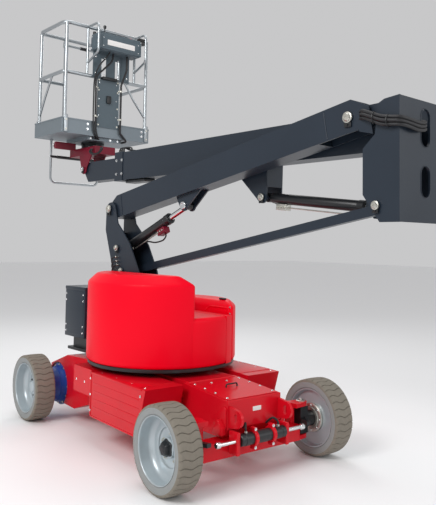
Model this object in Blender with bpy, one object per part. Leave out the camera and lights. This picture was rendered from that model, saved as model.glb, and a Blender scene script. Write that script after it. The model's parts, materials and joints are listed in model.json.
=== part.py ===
"""Articulating boom lift on four wheels: a chassis, a turntable with a riser, a lower boom on a
parallelogram, an upright, a telescopic upper boom and a work platform, each piece its own object.

Every moving piece hangs from an empty that sits on its joint's axis. Lengths are in metres.
The chassis has +X towards its steered axle and +Z up. Everything above the slewing ring is
modelled in the turntable's own frame, whose +X runs from the platform end to the upright.
"""

from math import atan2, cos, hypot, pi, radians, sin

import bmesh
import bpy
from mathutils import Vector

# ---------------------------------------------------------------- driving sizes: running gear
WHEELBASE = 2.12
TRACK = 1.356
TYRE_RADIUS = 0.2795
TYRE_WIDTH = 0.178
BEAD_RADIUS = 0.212
RIM_WALL = 0.008
KING_PIN_INSET = 0.178
KING_PIN_RADIUS = 0.024
KNUCKLE_SWEEP = 0.065
SPINDLE_RADIUS = 0.032
HUB_RADIUS = 0.062
RIM_DISC_INSET = 0.046
RIM_DISC = 0.012
STEER_ARM = 0.135
STEER_ROD_RADIUS = 0.013

# ---------------------------------------------------------------- driving sizes: chassis
CHASSIS_TOP = 0.56
CHASSIS_BOTTOM = 0.22
CENTRE_HALF_WIDTH = 0.215
CENTRE_REAR = -0.46
CENTRE_FRONT = 0.64
SIDE_INNER = 0.30
SIDE_OUTER = 0.62
SIDE_REAR = -0.10
SIDE_FRONT = 0.655
STEP_REAR = -0.39
STEP_BOTTOM = 0.37
PAN_TOP = 0.45
NOSE_HALF_WIDTH = 0.24
NOSE_FRONT = 1.12
NOSE_TOP = 0.52
NOSE_BOTTOM = 0.335
AXLE_BOTTOM = 0.155
EAR_TOP = 0.415
AXLE_DEPTH = 0.12
DRIVE_BOX_HALF_WIDTH = 0.45
DRIVE_BOX_REAR = -1.21
MOTOR_RADIUS = 0.185
STEER_CYLINDER_RADIUS = 0.042
STEER_CYLINDER_HALF = 0.20
LUG_THICKNESS = 0.022
LUG_RADIUS = 0.06

# ---------------------------------------------------------------- driving sizes: turntable
SLEW_X = -0.06
SLEW_AT_REST = radians(3.5)
SLEW_RING_RADIUS = 0.40
DECK_BOTTOM = 0.60
DECK_TOP = 0.625
DECK_RADIUS = 0.60
HOOD_RADIUS = 0.61
HOOD_BOTTOM = 0.6255
HOOD_TOP = 1.315
HOOD_CHAMFER = 0.07
LOW_HOOD_TOP = 1.0
FAR_HOOD_TOP = 1.10
CORRIDOR_NEAR = -0.125
CORRIDOR_FAR = 0.305
BOX_DEPTH = 0.34
BOX_REAR = -0.98
BOX_BOTTOM = 0.72
BOX_TOP = 1.16

# ---------------------------------------------------------------- driving sizes: riser and lower boom
RISER_PIN = (-0.67, 1.86)
LOWER_LENGTH = 2.68
LOWER_AT_REST = radians(10.4)
LINK_OFFSET = (0.22, -0.545)
PLATE = 0.012
RISER_NEAR = -0.107
RISER_FAR = 0.097
LOWER_MIDDLE = -0.005
LOWER_WIDTH = 0.16
LOWER_HEIGHT = 0.20
LOWER_AXIS_HEIGHT = 0.095
PIN_RADIUS = 0.024
PIN_CLEARANCE = 0.0008
LINK_MIDDLE = 0.045
LINK_PIN_RADIUS = 0.016
LINK_WIDTH = 0.05
LINK_HEIGHT = 0.062

# ---------------------------------------------------------------- driving sizes: upright and upper boom
UPRIGHT_NEAR = -0.107
UPRIGHT_MID = 0.087
UPRIGHT_FAR = 0.306
UPRIGHT_BACK = 2.338
UPRIGHT_TOP = 2.426
UPRIGHT_BOTTOM = 1.702
WINDOW_MIDDLE = 0.165
WINDOW_HALF = 0.048
UPPER_PIN = (2.13, 2.29)
UPPER_MIDDLE = 0.20
UPPER_WIDTH = 0.17
UPPER_BOTTOM = 2.15
UPPER_TOP = 2.415
UPPER_WALL = 0.01
UPPER_OUTER_END = -0.95
FLY_WIDTH = 0.138
FLY_BOTTOM = 2.172
FLY_TOP = 2.372
FLY_END = -1.50
FLY_TIP = -1.572
FLY_TAIL = 0.62
PAD_GAP = 0.0007

# ---------------------------------------------------------------- driving sizes: lift cylinders
LOWER_BARREL_FOOT = (-0.53, 1.51)
LOWER_EYE = (0.33, 1.862)
LOWER_BARREL_RADIUS = 0.042
LOWER_BARREL_LENGTH = 0.68
LOWER_ROD_TAIL = 0.30
BARREL_PIN_RADIUS = 0.018
EYE_RADIUS = 0.034
UPPER_BARREL_FOOT = (1.04, 1.908)
UPPER_EYE = (2.05, 1.797)
UPPER_BARREL_RADIUS = 0.038
UPPER_BARREL_LENGTH = 0.86
UPPER_ROD_TAIL = 0.26
ROD_SHARE = 0.58
EYE_WIDTH = 0.056

# ---------------------------------------------------------------- driving sizes: platform
LEVEL_PIN = (-1.545, 2.305)
LEVEL_PIN_RADIUS = 0.016
SWING_AXIS = (-1.69, 0.292)
ROTATOR_RADIUS = 0.12
BRACKET_TOP = 2.53
BRACKET_THICKNESS = 0.08
FLANGE_REACH = 0.222
FRAME_DEPTH = 0.036
PLATFORM_FRONT = -1.40
PLATFORM_BACK = -1.986
PLATFORM_NEAR = -0.229
PLATFORM_FAR = 0.813
FLOOR_BOTTOM = 2.636
FLOOR_THICKNESS = 0.035
TOE_HEIGHT = 0.152
TOE_THICKNESS = 0.012
RAIL_TOP = 3.755
RAIL_MIDDLE = 3.255
RAIL_RADIUS = 0.019
FOOT_LOOP_BOTTOM = 2.17
GUARD_BAR_AT = 2.46
ENTRY_NEAR = 0.09
ENTRY_FAR = 0.53
ENTRY_BAR_AT = 3.693
ENTRY_SLEEVE = 0.026
ENTRY_SLEEVE_HALF = 0.028
CONTROL_BOX_LOW = (-1.42, 0.08, 3.51)
CONTROL_BOX_HIGH = (-1.24, 0.59, 3.68)
HOSE_RADIUS = 0.011
SHELF = 0.006

GAP = 0.0003
ROUND = 24


# ---------------------------------------------------------------- scene, materials and frames
def clear_scene():
    for item in list(bpy.data.objects):
        bpy.data.objects.remove(item, do_unlink=True)


def material(name, colour, roughness, metallic=0.0):
    made = bpy.data.materials.new(name)
    made.use_nodes = True
    shader = made.node_tree.nodes["Principled BSDF"]
    shader.inputs["Base Color"].default_value = (*colour, 1.0)
    shader.inputs["Roughness"].default_value = roughness
    shader.inputs["Metallic"].default_value = metallic
    return made


def frame(name, place, parent=None, turn=0.0, about="Y", shared=False):
    """An empty at a joint's axis. turn is about the named axis of the parent's frame.

    Pieces of a shared frame are modelled in its parent's coordinates, the others in its own.
    """
    made = bpy.data.objects.new(name, None)
    made["home"] = place if shared else (0.0, 0.0, 0.0)
    bpy.context.scene.collection.objects.link(made)
    made.parent = parent
    made.location = place
    made.rotation_euler["XYZ".index(about)] = turn
    return made


def build_materials():
    return {
        "chassis_red": material("chassis_red", (0.52, 0.004, 0.008), 0.32),
        "hood_red": material("hood_red", (0.90, 0.006, 0.02), 0.28),
        "boom_slate": material("boom_slate", (0.045, 0.062, 0.085), 0.42),
        "black_steel": material("black_steel", (0.008, 0.009, 0.011), 0.38),
        "crimson": material("crimson", (0.20, 0.004, 0.03), 0.4),
        "rail_steel": material("rail_steel", (0.62, 0.65, 0.66), 0.3, 0.9),
        "floor_grey": material("floor_grey", (0.28, 0.37, 0.44), 0.4, 0.3),
        "control_grey": material("control_grey", (0.16, 0.23, 0.28), 0.45),
        "tyre_rubber": material("tyre_rubber", (0.22, 0.22, 0.20), 0.85),
        "rim_silver": material("rim_silver", (0.42, 0.50, 0.54), 0.4, 0.6),
        "motor_blue": material("motor_blue", (0.012, 0.10, 0.50), 0.35),
        "bright_steel": material("bright_steel", (0.70, 0.72, 0.74), 0.2, 1.0),
        "hose_black": material("hose_black", (0.010, 0.010, 0.012), 0.6),
    }


# ---------------------------------------------------------------- shape tools
def finish(name, shape, paint, parent, smooth=False):
    """Turns a bmesh into a linked object in its parent's frame, with outward faces."""
    bmesh.ops.recalc_face_normals(shape, faces=shape.faces)
    mesh = bpy.data.meshes.new(name)
    shape.to_mesh(mesh)
    shape.free()
    if smooth:
        mesh.shade_smooth()
        mesh.set_sharp_from_angle(angle=radians(35))
    made = bpy.data.objects.new(name, mesh)
    bpy.context.scene.collection.objects.link(made)
    made.parent = parent
    made.location = -Vector(parent["home"])
    if paint is not None:
        mesh.materials.append(paint)
    return made


def placed(axis, u, v, w):
    """The point with u and v in the outline's plane and w along the axis."""
    return {"X": (w, u, v), "Y": (u, w, v), "Z": (u, v, w)}[axis]


def prism_shape(outline, axis, low, high):
    shape = bmesh.new()
    first = [shape.verts.new(placed(axis, u, v, low)) for u, v in outline]
    last = [shape.verts.new(placed(axis, u, v, high)) for u, v in outline]
    shape.faces.new(first)
    shape.faces.new(list(reversed(last)))
    for i in range(len(outline)):
        j = (i + 1) % len(outline)
        shape.faces.new((first[i], last[i], last[j], first[j]))
    return shape


def prism(name, outline, axis, low, high, paint=None, parent=None, smooth=False):
    """A flat outline pushed along one axis."""
    return finish(name, prism_shape(outline, axis, low, high), paint, parent, smooth)


def block(name, low, high, paint=None, parent=None, edge=0.0):
    """A box between two corners, its edges cut back by edge."""
    outline = [(low[0], low[1]), (high[0], low[1]), (high[0], high[1]), (low[0], high[1])]
    made = prism(name, outline, "Z", low[2], high[2], paint, parent)
    if edge:
        bevel(made, edge)
    return made


def turned(name, profile, centre, axis, paint=None, parent=None, around=ROUND):
    """A profile of (along, radius) points turned about an axis through centre.

    A closed ring has no point at radius 0. A solid starts and ends on the axis.
    """
    shape = bmesh.new()
    along = Vector(axis).normalized()
    side = along.orthogonal().normalized()
    other = along.cross(side)
    rings = []
    for height, radius in profile:
        base = Vector(centre) + along * height
        if radius == 0.0:
            rings.append([shape.verts.new(base)] * around)
            continue
        ring = []
        for i in range(around):
            angle = 2 * pi * i / around
            ring.append(shape.verts.new(base + (side * cos(angle) + other * sin(angle)) * radius))
        rings.append(ring)
    closed = profile[0][1] > 0.0
    pairs = list(zip(rings, rings[1:] + rings[:1])) if closed else list(zip(rings, rings[1:]))
    for first, second in pairs:
        for i in range(around):
            j = (i + 1) % around
            corners = [first[i], first[j], second[j], second[i]]
            corners = [v for k, v in enumerate(corners) if v not in corners[:k]]
            if len(corners) > 2:
                shape.faces.new(corners)
    return finish(name, shape, paint, parent, smooth=True)


def rod_between(name, start, end, radius, paint=None, parent=None, around=16):
    """A plain round bar between two points."""
    length = (Vector(end) - Vector(start)).length
    profile = [(0.0, 0.0), (0.0, radius), (length, radius), (length, 0.0)]
    return turned(name, profile, start, Vector(end) - Vector(start), paint, parent, around)


def rounded(points, radius, steps=3):
    """The path through points, with each inner corner replaced by an arc of this radius."""
    path = [Vector(points[0])]
    for before, corner, after in zip(points, points[1:], points[2:]):
        corner = Vector(corner)
        back = (Vector(before) - corner).normalized()
        on = (Vector(after) - corner).normalized()
        half = back.angle(on) / 2
        reach = radius / max(0.05, abs(sin(half)) / max(1e-6, cos(half)))
        centre = corner + (back + on).normalized() * (radius / sin(half))
        start = corner + back * reach - centre
        end = corner + on * reach - centre
        for i in range(steps + 1):
            path.append(centre + start.slerp(end, i / steps, start).normalized() * radius)
    path.append(Vector(points[-1]))
    return path


def pipe(name, points, radius, paint=None, parent=None, bend=0.0, around=8):
    """A bent tube with flat ends, its corners rounded by bend."""
    path = rounded(points, bend) if bend else [Vector(p) for p in points]
    shape = bmesh.new()
    rings = []
    side = None
    for i, here in enumerate(path):
        before = path[max(i - 1, 0)]
        after = path[min(i + 1, len(path) - 1)]
        along = (after - before).normalized()
        side = along.orthogonal() if side is None else side - along * side.dot(along)
        side.normalize()
        other = along.cross(side)
        ring = []
        for k in range(around):
            angle = 2 * pi * k / around
            offset = (side * cos(angle) + other * sin(angle)) * radius
            ring.append(shape.verts.new(here + offset))
        rings.append(ring)
    for first, second in zip(rings, rings[1:]):
        for k in range(around):
            j = (k + 1) % around
            shape.faces.new((first[k], first[j], second[j], second[k]))
    shape.faces.new(list(reversed(rings[0])))
    shape.faces.new(rings[-1])
    return finish(name, shape, paint, parent, smooth=True)


def arc(centre, radius, start, end, steps):
    """Points on a circle, angles in degrees."""
    found = []
    for i in range(steps + 1):
        angle = radians(start + (end - start) * i / steps)
        found.append((centre[0] + radius * cos(angle), centre[1] + radius * sin(angle)))
    return found


def bevel(item, width, segments=1):
    change = item.modifiers.new("edges", "BEVEL")
    change.width = width
    change.segments = segments
    change.limit_method = "ANGLE"
    change.angle_limit = radians(40)


def combine(item, others, operation):
    """Joins or cuts with other shapes, which stay as hidden guides."""
    for other in others:
        other.hide_render = True
        other.display_type = "WIRE"
        change = item.modifiers.new(operation.lower(), "BOOLEAN")
        change.operation = operation
        change.solver = "EXACT"
        change.object = other
    return item


def joined(item, *others):
    return combine(item, others, "UNION")


def cut(item, *others):
    return combine(item, others, "DIFFERENCE")


def eye_outline(centre, radius, towards, half_width, steps=8):
    """A lug outline: a round end about centre, and straight sides to the point towards."""
    heading = atan2(towards[1] - centre[1], towards[0] - centre[0])
    middle = heading * 180 / pi
    points = arc(centre, radius, middle + 90, middle + 270, steps)
    across = (-sin(heading) * half_width, cos(heading) * half_width)
    points.append((towards[0] - across[0], towards[1] - across[1]))
    points.append((towards[0] + across[0], towards[1] + across[1]))
    return points


# ---------------------------------------------------------------- chassis and running gear
def side_box_outline():
    """The battery box from the side: a straight tray whose front end slopes over the tyre."""
    return [
        (SIDE_REAR, CHASSIS_BOTTOM),
        (SIDE_FRONT, CHASSIS_BOTTOM),
        (SIDE_FRONT, CHASSIS_TOP - 0.15),
        (SIDE_FRONT + 0.045, CHASSIS_TOP),
        (SIDE_REAR, CHASSIS_TOP),
    ]


def build_chassis_frame(paint, parent):
    centre = block(
        "chassis_frame",
        (CENTRE_REAR, -CENTRE_HALF_WIDTH, CHASSIS_BOTTOM),
        (CENTRE_FRONT, CENTRE_HALF_WIDTH, CHASSIS_TOP),
        paint,
        parent,
    )
    pan = block(
        "pan_shape",
        (SIDE_REAR, -SIDE_INNER + GAP, CHASSIS_BOTTOM),
        (SIDE_FRONT - 0.06, SIDE_INNER - GAP, PAN_TOP),
        parent=parent,
    )
    tail = block(
        "tail_shape",
        (CENTRE_REAR, -DRIVE_BOX_HALF_WIDTH, CHASSIS_BOTTOM),
        (SIDE_REAR + GAP, DRIVE_BOX_HALF_WIDTH, CHASSIS_TOP),
        parent=parent,
    )
    nose_outline = [
        (CENTRE_FRONT - 0.04, NOSE_BOTTOM - 0.07),
        (NOSE_FRONT - 0.06, NOSE_BOTTOM - 0.07),
        (NOSE_FRONT, NOSE_BOTTOM),
        (NOSE_FRONT, NOSE_TOP),
        (CENTRE_FRONT - 0.04, CHASSIS_TOP - 0.004),
    ]
    nose = prism("nose_shape", nose_outline, "Y", -NOSE_HALF_WIDTH, NOSE_HALF_WIDTH, parent=parent)
    return joined(centre, pan, tail, nose)


def build_nose_cover(paint, parent):
    """The bolted plate that lies on the sloping nose."""
    rise = (CHASSIS_TOP - 0.004 - NOSE_TOP) / (NOSE_FRONT - CENTRE_FRONT + 0.04)
    rear = CENTRE_FRONT + 0.02
    front = NOSE_FRONT - 0.015
    heights = [NOSE_TOP + (NOSE_FRONT - x) * rise + GAP for x in (rear, front)]
    outline = [
        (rear, heights[0]),
        (front, heights[1]),
        (front, heights[1] + 0.005),
        (rear, heights[0] + 0.005),
    ]
    edge = NOSE_HALF_WIDTH - 0.012
    return prism("nose_cover", outline, "Y", -edge, edge, paint, parent)


def build_side_box(name, side, paint, parent):
    near, far = sorted((side * SIDE_INNER, side * SIDE_OUTER))
    box = prism(name, side_box_outline(), "Y", near, far, paint, parent)
    step = block(
        name + "_step_shape",
        (STEP_REAR, near + 0.1 if side > 0 else near, STEP_BOTTOM),
        (SIDE_REAR + 0.01, far if side > 0 else far - 0.1, CHASSIS_TOP + 0.012),
        parent=parent,
    )
    clear = block(
        name + "_clear_shape",
        (STEP_REAR - 0.02, -DRIVE_BOX_HALF_WIDTH - GAP, CHASSIS_BOTTOM - 0.1),
        (SIDE_REAR + 2 * GAP, DRIVE_BOX_HALF_WIDTH + GAP, CHASSIS_TOP + 0.1),
        parent=parent,
    )
    return cut(joined(box, step), clear)


def build_drive_box(paint, parent):
    """The rear box between the drive wheels, with a round window for each motor."""
    outline = [
        (CENTRE_REAR - GAP, CHASSIS_BOTTOM - 0.01),
        (CENTRE_REAR - GAP, CHASSIS_TOP + 0.02),
        (-0.88, CHASSIS_TOP),
        (DRIVE_BOX_REAR, 0.445),
        (DRIVE_BOX_REAR, 0.31),
        (-1.11, 0.135),
        (-0.72, 0.125),
    ]
    half = DRIVE_BOX_HALF_WIDTH
    box = prism("rear_drive_box", outline, "Y", -half, half, paint, parent)
    windows = []
    radius = MOTOR_RADIUS + 0.008
    for side in (-1, 1):
        low, high = sorted((side * (half - 0.12), side * (half + 0.05)))
        window = turned(
            f"motor_window_shape_{'right' if side < 0 else 'left'}",
            [(0, 0), (0, radius), (high - low, radius), (high - low, 0)],
            (-WHEELBASE / 2, low, TYRE_RADIUS),
            (0, 1, 0),
            parent=parent,
        )
        windows.append(window)
    return cut(box, *windows)


def build_drive_motor(name, side, paint, parent):
    """A hub drive: motor body, gear case and the spindle that carries the wheel."""
    inner = DRIVE_BOX_HALF_WIDTH - 0.12 + GAP
    rim_face = TRACK / 2 - RIM_DISC_INSET
    profile = [
        (0.0, 0.0),
        (0.0, MOTOR_RADIUS),
        (0.10, MOTOR_RADIUS),
        (0.13, MOTOR_RADIUS - 0.03),
        (rim_face - inner - 0.03, MOTOR_RADIUS - 0.05),
        (rim_face - inner - 0.001, HUB_RADIUS + 0.01),
        (rim_face - inner - 0.001, SPINDLE_RADIUS),
        (rim_face - inner + 0.06, SPINDLE_RADIUS),
        (rim_face - inner + 0.06, 0.0),
    ]
    centre = (-WHEELBASE / 2, side * inner, TYRE_RADIUS)
    return turned(name, profile, centre, (0, side, 0), paint, parent, around=24)


def tyre_profile():
    """Closed section of a solid tyre: flat tread, rounded shoulders, bead on the rim."""
    half = TYRE_WIDTH / 2
    shoulder = 0.018
    return [
        (-half + shoulder, TYRE_RADIUS),
        (half - shoulder, TYRE_RADIUS),
        (half - 0.006, TYRE_RADIUS - 0.008),
        (half, TYRE_RADIUS - 0.022),
        (half - 0.004, BEAD_RADIUS + 0.02),
        (half - 0.012, BEAD_RADIUS),
        (-half + 0.012, BEAD_RADIUS),
        (-half + 0.004, BEAD_RADIUS + 0.02),
        (-half, TYRE_RADIUS - 0.022),
        (-half + 0.006, TYRE_RADIUS - 0.008),
    ]


def rim_profile(side):
    """Closed section of the rim, its dish hollow towards the outer side."""
    half = TYRE_WIDTH / 2 - 0.008
    outer = BEAD_RADIUS - GAP
    inner = outer - RIM_WALL
    bore = SPINDLE_RADIUS + PIN_CLEARANCE
    face = RIM_DISC - RIM_DISC_INSET
    section = [
        (half, outer),
        (-half, outer),
        (-half, inner),
        (-RIM_DISC_INSET, inner - 0.006),
        (-RIM_DISC_INSET, bore),
        (face + 0.030, bore),
        (face + 0.030, HUB_RADIUS),
        (face, HUB_RADIUS + 0.008),
        (face, inner - 0.030),
        (face + 0.018, inner - 0.004),
        (half, inner),
    ]
    return [(side * along, radius) for along, radius in section]


def build_wheel(name, side, parent, paints):
    """A tyre and its rim on one spinning frame."""
    centre = (0, 0, 0)
    axle = (0, 1, 0)
    turned(name + "_tyre", tyre_profile(), centre, axle, paints["tyre_rubber"], parent)
    turned(name + "_rim", rim_profile(side), centre, axle, paints["rim_silver"], parent)


def build_front_axle(paint, parent):
    """The cross beam with a forked end for each king pin."""
    front = WHEELBASE / 2
    half = TRACK / 2 - KING_PIN_INSET
    beam = block(
        "front_axle_beam",
        (front - AXLE_DEPTH / 2, KNUCKLE_SWEEP - half, AXLE_BOTTOM),
        (front + AXLE_DEPTH / 2, half - KNUCKLE_SWEEP, NOSE_BOTTOM - 0.07 - GAP),
        paint,
        parent,
    )
    ears = []
    for side in (-1, 1):
        for low, high in ((AXLE_BOTTOM, AXLE_BOTTOM + 0.03), (EAR_TOP - 0.03, EAR_TOP)):
            outline = eye_outline((front, side * half), 0.045, (front, side * (half - 0.10)), 0.06)
            ears.append(prism("axle_ear_shape", outline, "Z", low, high, parent=parent))
        low_y, high_y = sorted((side * (half - KNUCKLE_SWEEP), side * (half - 0.105)))
        web = block(
            "axle_web_shape",
            (front - 0.06, low_y, AXLE_BOTTOM),
            (front, high_y, EAR_TOP),
            parent=parent,
        )
        ears.append(web)
    joined(beam, *ears)
    holes = []
    for side in (-1, 1):
        start = (front, side * half, AXLE_BOTTOM - 0.02)
        end = (front, side * half, 0.44)
        reach = KING_PIN_RADIUS + PIN_CLEARANCE
        holes.append(rod_between("king_pin_hole", start, end, reach, parent=parent))
    return cut(beam, *holes)


def build_knuckle(name, side, paint, parent):
    """King pin, block, steering arm and spindle. The frame's origin is on the king pin."""
    height = TYRE_RADIUS
    low = AXLE_BOTTOM - 0.008 - height
    high = EAR_TOP + 0.008 - height
    pin = rod_between(name, (0, 0, low), (0, 0, high), KING_PIN_RADIUS, paint, parent)
    body_low = AXLE_BOTTOM + 0.03 + 0.005 - height
    body_high = EAR_TOP - 0.03 - 0.005 - height
    low_corner = (-0.04, -0.038, body_low)
    body = block("knuckle_body_shape", low_corner, (0.04, 0.038, body_high), parent=parent)
    flange_at = side * (KING_PIN_INSET - RIM_DISC_INSET - 0.001)
    spindle_end = side * (KING_PIN_INSET - RIM_DISC_INSET + 0.075)
    boss = rod_between("knuckle_boss_shape", (0, 0, 0), (0, flange_at, 0), 0.055, parent=parent)
    spindle = rod_between(
        "spindle_shape", (0, 0, 0), (0, spindle_end, 0), SPINDLE_RADIUS, parent=parent
    )
    arm_outline = [(0.0, -side * 0.02), (0.0, side * 0.02)]
    arm_outline += [(STEER_ARM, -side * 0.035), (STEER_ARM, -side * 0.07)]
    arm = prism("arm_shape", arm_outline, "Z", -0.005, 0.022, parent=parent)
    return joined(pin, body, boss, spindle, arm)


def steering_cylinder_place():
    return (WHEELBASE / 2 + STEER_ARM, 0.0, TYRE_RADIUS - 0.002)


def build_steering_cylinder(paint, parent):
    """The barrel across the nose, bored right through for its double-ended rod."""
    at = steering_cylinder_place()
    half = STEER_CYLINDER_HALF
    bore = STEER_ROD_RADIUS + PIN_CLEARANCE
    profile = [(-half, bore), (-half, STEER_CYLINDER_RADIUS)]
    for middle in (-0.08, 0.08):
        profile += [
            (middle - 0.012, STEER_CYLINDER_RADIUS),
            (middle - 0.012, STEER_CYLINDER_RADIUS + 0.012),
            (middle + 0.012, STEER_CYLINDER_RADIUS + 0.012),
            (middle + 0.012, STEER_CYLINDER_RADIUS),
        ]
    profile += [(half, STEER_CYLINDER_RADIUS), (half, bore)]
    body = turned("steering_cylinder", profile, at, (0, 1, 0), paint, parent, around=24)
    saddle = block(
        "saddle_shape",
        (NOSE_FRONT + GAP, -0.095, at[2] - 0.06),
        (at[0] - STEER_ROD_RADIUS - 0.01, 0.095, at[2] + 0.02),
        parent=parent,
    )
    return joined(body, saddle)


def build_steering_rod(paint, parent):
    """The double-ended rod, with a ball socket at each end just short of the steering arm."""
    reach = TRACK / 2 - KING_PIN_INSET - 0.105
    socket = 0.022
    profile = [(-reach, 0.0), (-reach, socket), (0.035 - reach, socket)]
    profile += [(0.035 - reach, STEER_ROD_RADIUS), (reach - 0.035, STEER_ROD_RADIUS)]
    profile += [(reach - 0.035, socket), (reach, socket), (reach, 0.0)]
    return turned("steering_rod", profile, (0, 0, 0), (0, 1, 0), paint, parent, around=20)


def build_tie_down(name, side, paint, parent):
    """A rounded lug with an upright slot, welded to a corner of the nose."""
    middle_z = 0.418
    front = NOSE_FRONT + 0.075
    outline = [(NOSE_FRONT + GAP, middle_z - 0.07), (NOSE_FRONT + GAP, middle_z + 0.07)]
    outline = arc((front, middle_z), LUG_RADIUS, -90, 90, 10) + list(reversed(outline))
    inner = side * (NOSE_HALF_WIDTH - 0.03)
    outer = side * (NOSE_HALF_WIDTH - 0.03 + LUG_THICKNESS)
    lug = prism(name, outline, "Y", min(inner, outer), max(inner, outer), paint, parent)
    slot_outline = arc((front, middle_z + 0.018), 0.014, 0, 180, 8)
    slot_outline += arc((front, middle_z - 0.018), 0.014, 180, 360, 8)
    ends = (min(inner, outer) - 0.01, max(inner, outer) + 0.01)
    slot = prism(name + "_slot", slot_outline, "Y", *ends, parent=parent)
    return cut(lug, slot)


def build_chassis(paints, root):
    red = paints["chassis_red"]
    build_chassis_frame(red, root)
    build_nose_cover(red, root)
    build_side_box("side_box_right", -1, red, root)
    build_side_box("side_box_left", 1, red, root)
    build_drive_box(red, root)
    build_front_axle(red, root)
    build_steering_cylinder(paints["black_steel"], root)
    rod = frame("steering_rod_slide", steering_cylinder_place(), root)
    build_steering_rod(paints["bright_steel"], rod)
    build_tie_down("tie_down_right", -1, red, root)
    build_tie_down("tie_down_left", 1, red, root)
    ring_height = DECK_BOTTOM - CHASSIS_TOP - 2 * GAP
    turned(
        "slew_ring",
        [
            (0, 0),
            (0, SLEW_RING_RADIUS),
            (ring_height, SLEW_RING_RADIUS),
            (ring_height, 0),
        ],
        (SLEW_X, 0, CHASSIS_TOP + GAP),
        (0, 0, 1),
        paints["black_steel"],
        root,
    )
    for name, side in (("right", -1), ("left", 1)):
        build_drive_motor(f"drive_motor_{name}", side, paints["motor_blue"], root)
        axle = side * TRACK / 2
        spin = frame(f"rear_{name}_spin", (-WHEELBASE / 2, axle, TYRE_RADIUS), root)
        build_wheel(f"rear_{name}", side, spin, paints)
        king_pin = side * (TRACK / 2 - KING_PIN_INSET)
        steer = frame(f"steer_{name}", (WHEELBASE / 2, king_pin, TYRE_RADIUS), root)
        build_knuckle(f"knuckle_{name}", side, paints["black_steel"], steer)
        spin = frame(f"front_{name}_spin", (0, side * KING_PIN_INSET, 0), steer)
        build_wheel(f"front_{name}", side, spin, paints)


# ---------------------------------------------------------------- turntable
def domed(item, height, inset):
    """Draws the top face of a prism in by inset while raising it by height."""
    shape = bmesh.new()
    shape.from_mesh(item.data)
    level = [face for face in shape.faces if abs(face.normal.z) > 0.9]
    top = max(level, key=lambda face: face.calc_center_median().z)
    bmesh.ops.inset_region(shape, faces=[top], thickness=inset, depth=height)
    shape.to_mesh(item.data)
    shape.free()
    return item


def build_deck(paint, parent):
    """The round plate that everything above stands on, with a tongue under the electrical box."""
    thickness = DECK_TOP - DECK_BOTTOM
    disc = turned(
        "turntable_deck",
        [(0, 0), (0, DECK_RADIUS), (thickness, DECK_RADIUS), (thickness, 0)],
        (0, 0, DECK_BOTTOM),
        (0, 0, 1),
        paint,
        parent,
        around=36,
    )
    tongue = block(
        "tongue_shape",
        (BOX_REAR + 0.03, -0.34, DECK_BOTTOM),
        (-0.3, 0.05, DECK_TOP),
        parent=parent,
    )
    post = block(
        "box_post_shape",
        (BOX_REAR + 0.06, -0.30, DECK_TOP - 0.01),
        (BOX_REAR + BOX_DEPTH - 0.02, 0.02, BOX_BOTTOM - GAP),
        parent=parent,
    )
    return joined(disc, tongue, post)


def build_hoods(paint, parent):
    """The tall cover beside the booms, wrapped round to a low one across the corridor's end."""
    edge = CORRIDOR_NEAR
    reach = (HOOD_RADIUS**2 - edge**2) ** 0.5
    tall_points = [p for p in arc((0, 0), HOOD_RADIUS, 180, 360, 32) if p[1] < edge - 0.01]
    tall_outline = [(-reach, edge)] + tall_points + [(reach, edge)]
    shoulder = HOOD_TOP - HOOD_CHAMFER
    tall = prism("near_hood", tall_outline, "Z", HOOD_BOTTOM, shoulder, paint, parent, True)
    domed(tall, HOOD_CHAMFER, HOOD_CHAMFER)
    far = CORRIDOR_FAR - 0.105
    inner_radius = HOOD_RADIUS - 0.002
    low_points = [p for p in arc((0, 0), inner_radius, -60, 60, 24) if edge - 0.05 < p[1] < far]
    far_reach = (inner_radius**2 - far**2) ** 0.5
    low_outline = [(0.10, edge - 0.05)] + low_points + [(far_reach, far), (0.10, far)]
    low = prism("low_hood_shape", low_outline, "Z", HOOD_BOTTOM, LOW_HOOD_TOP - 0.03, parent=parent)
    domed(low, 0.03, 0.03)
    joined(tall, low)
    back = CORRIDOR_FAR
    back_reach = (HOOD_RADIUS**2 - back**2) ** 0.5
    far_points = [p for p in arc((0, 0), HOOD_RADIUS, 0, 180, 32) if p[1] > back + 0.01]
    far_outline = [(back_reach, back)] + far_points + [(-back_reach, back)]
    far_shoulder = FAR_HOOD_TOP - 0.03
    cover = prism("far_hood", far_outline, "Z", HOOD_BOTTOM, far_shoulder, paint, parent, True)
    return domed(cover, 0.03, 0.03)


def build_counterweight(paint, parent):
    """The cast weight that closes the corridor's end behind the low hood."""
    near = CORRIDOR_FAR - 0.105 + 0.004
    far = CORRIDOR_FAR - 0.004
    points = [p for p in arc((0, 0), HOOD_RADIUS, 0, 60, 24) if near < p[1] < far]
    ends = [(HOOD_RADIUS**2 - y**2) ** 0.5 for y in (near, far)]
    outline = [(0.10, near), (ends[0], near)] + points + [(ends[1], far), (0.10, far)]
    return prism("counterweight", outline, "Z", HOOD_BOTTOM, LOW_HOOD_TOP - 0.004, paint, parent)


def build_electrical_box(paint, parent):
    low = (BOX_REAR, -0.36, BOX_BOTTOM)
    high = (BOX_REAR + BOX_DEPTH, 0.06, BOX_TOP)
    return block("electrical_box", low, high, paint, parent, edge=0.008)


def link_pin():
    return (RISER_PIN[0] + LINK_OFFSET[0], RISER_PIN[1] + LINK_OFFSET[1])


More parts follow.
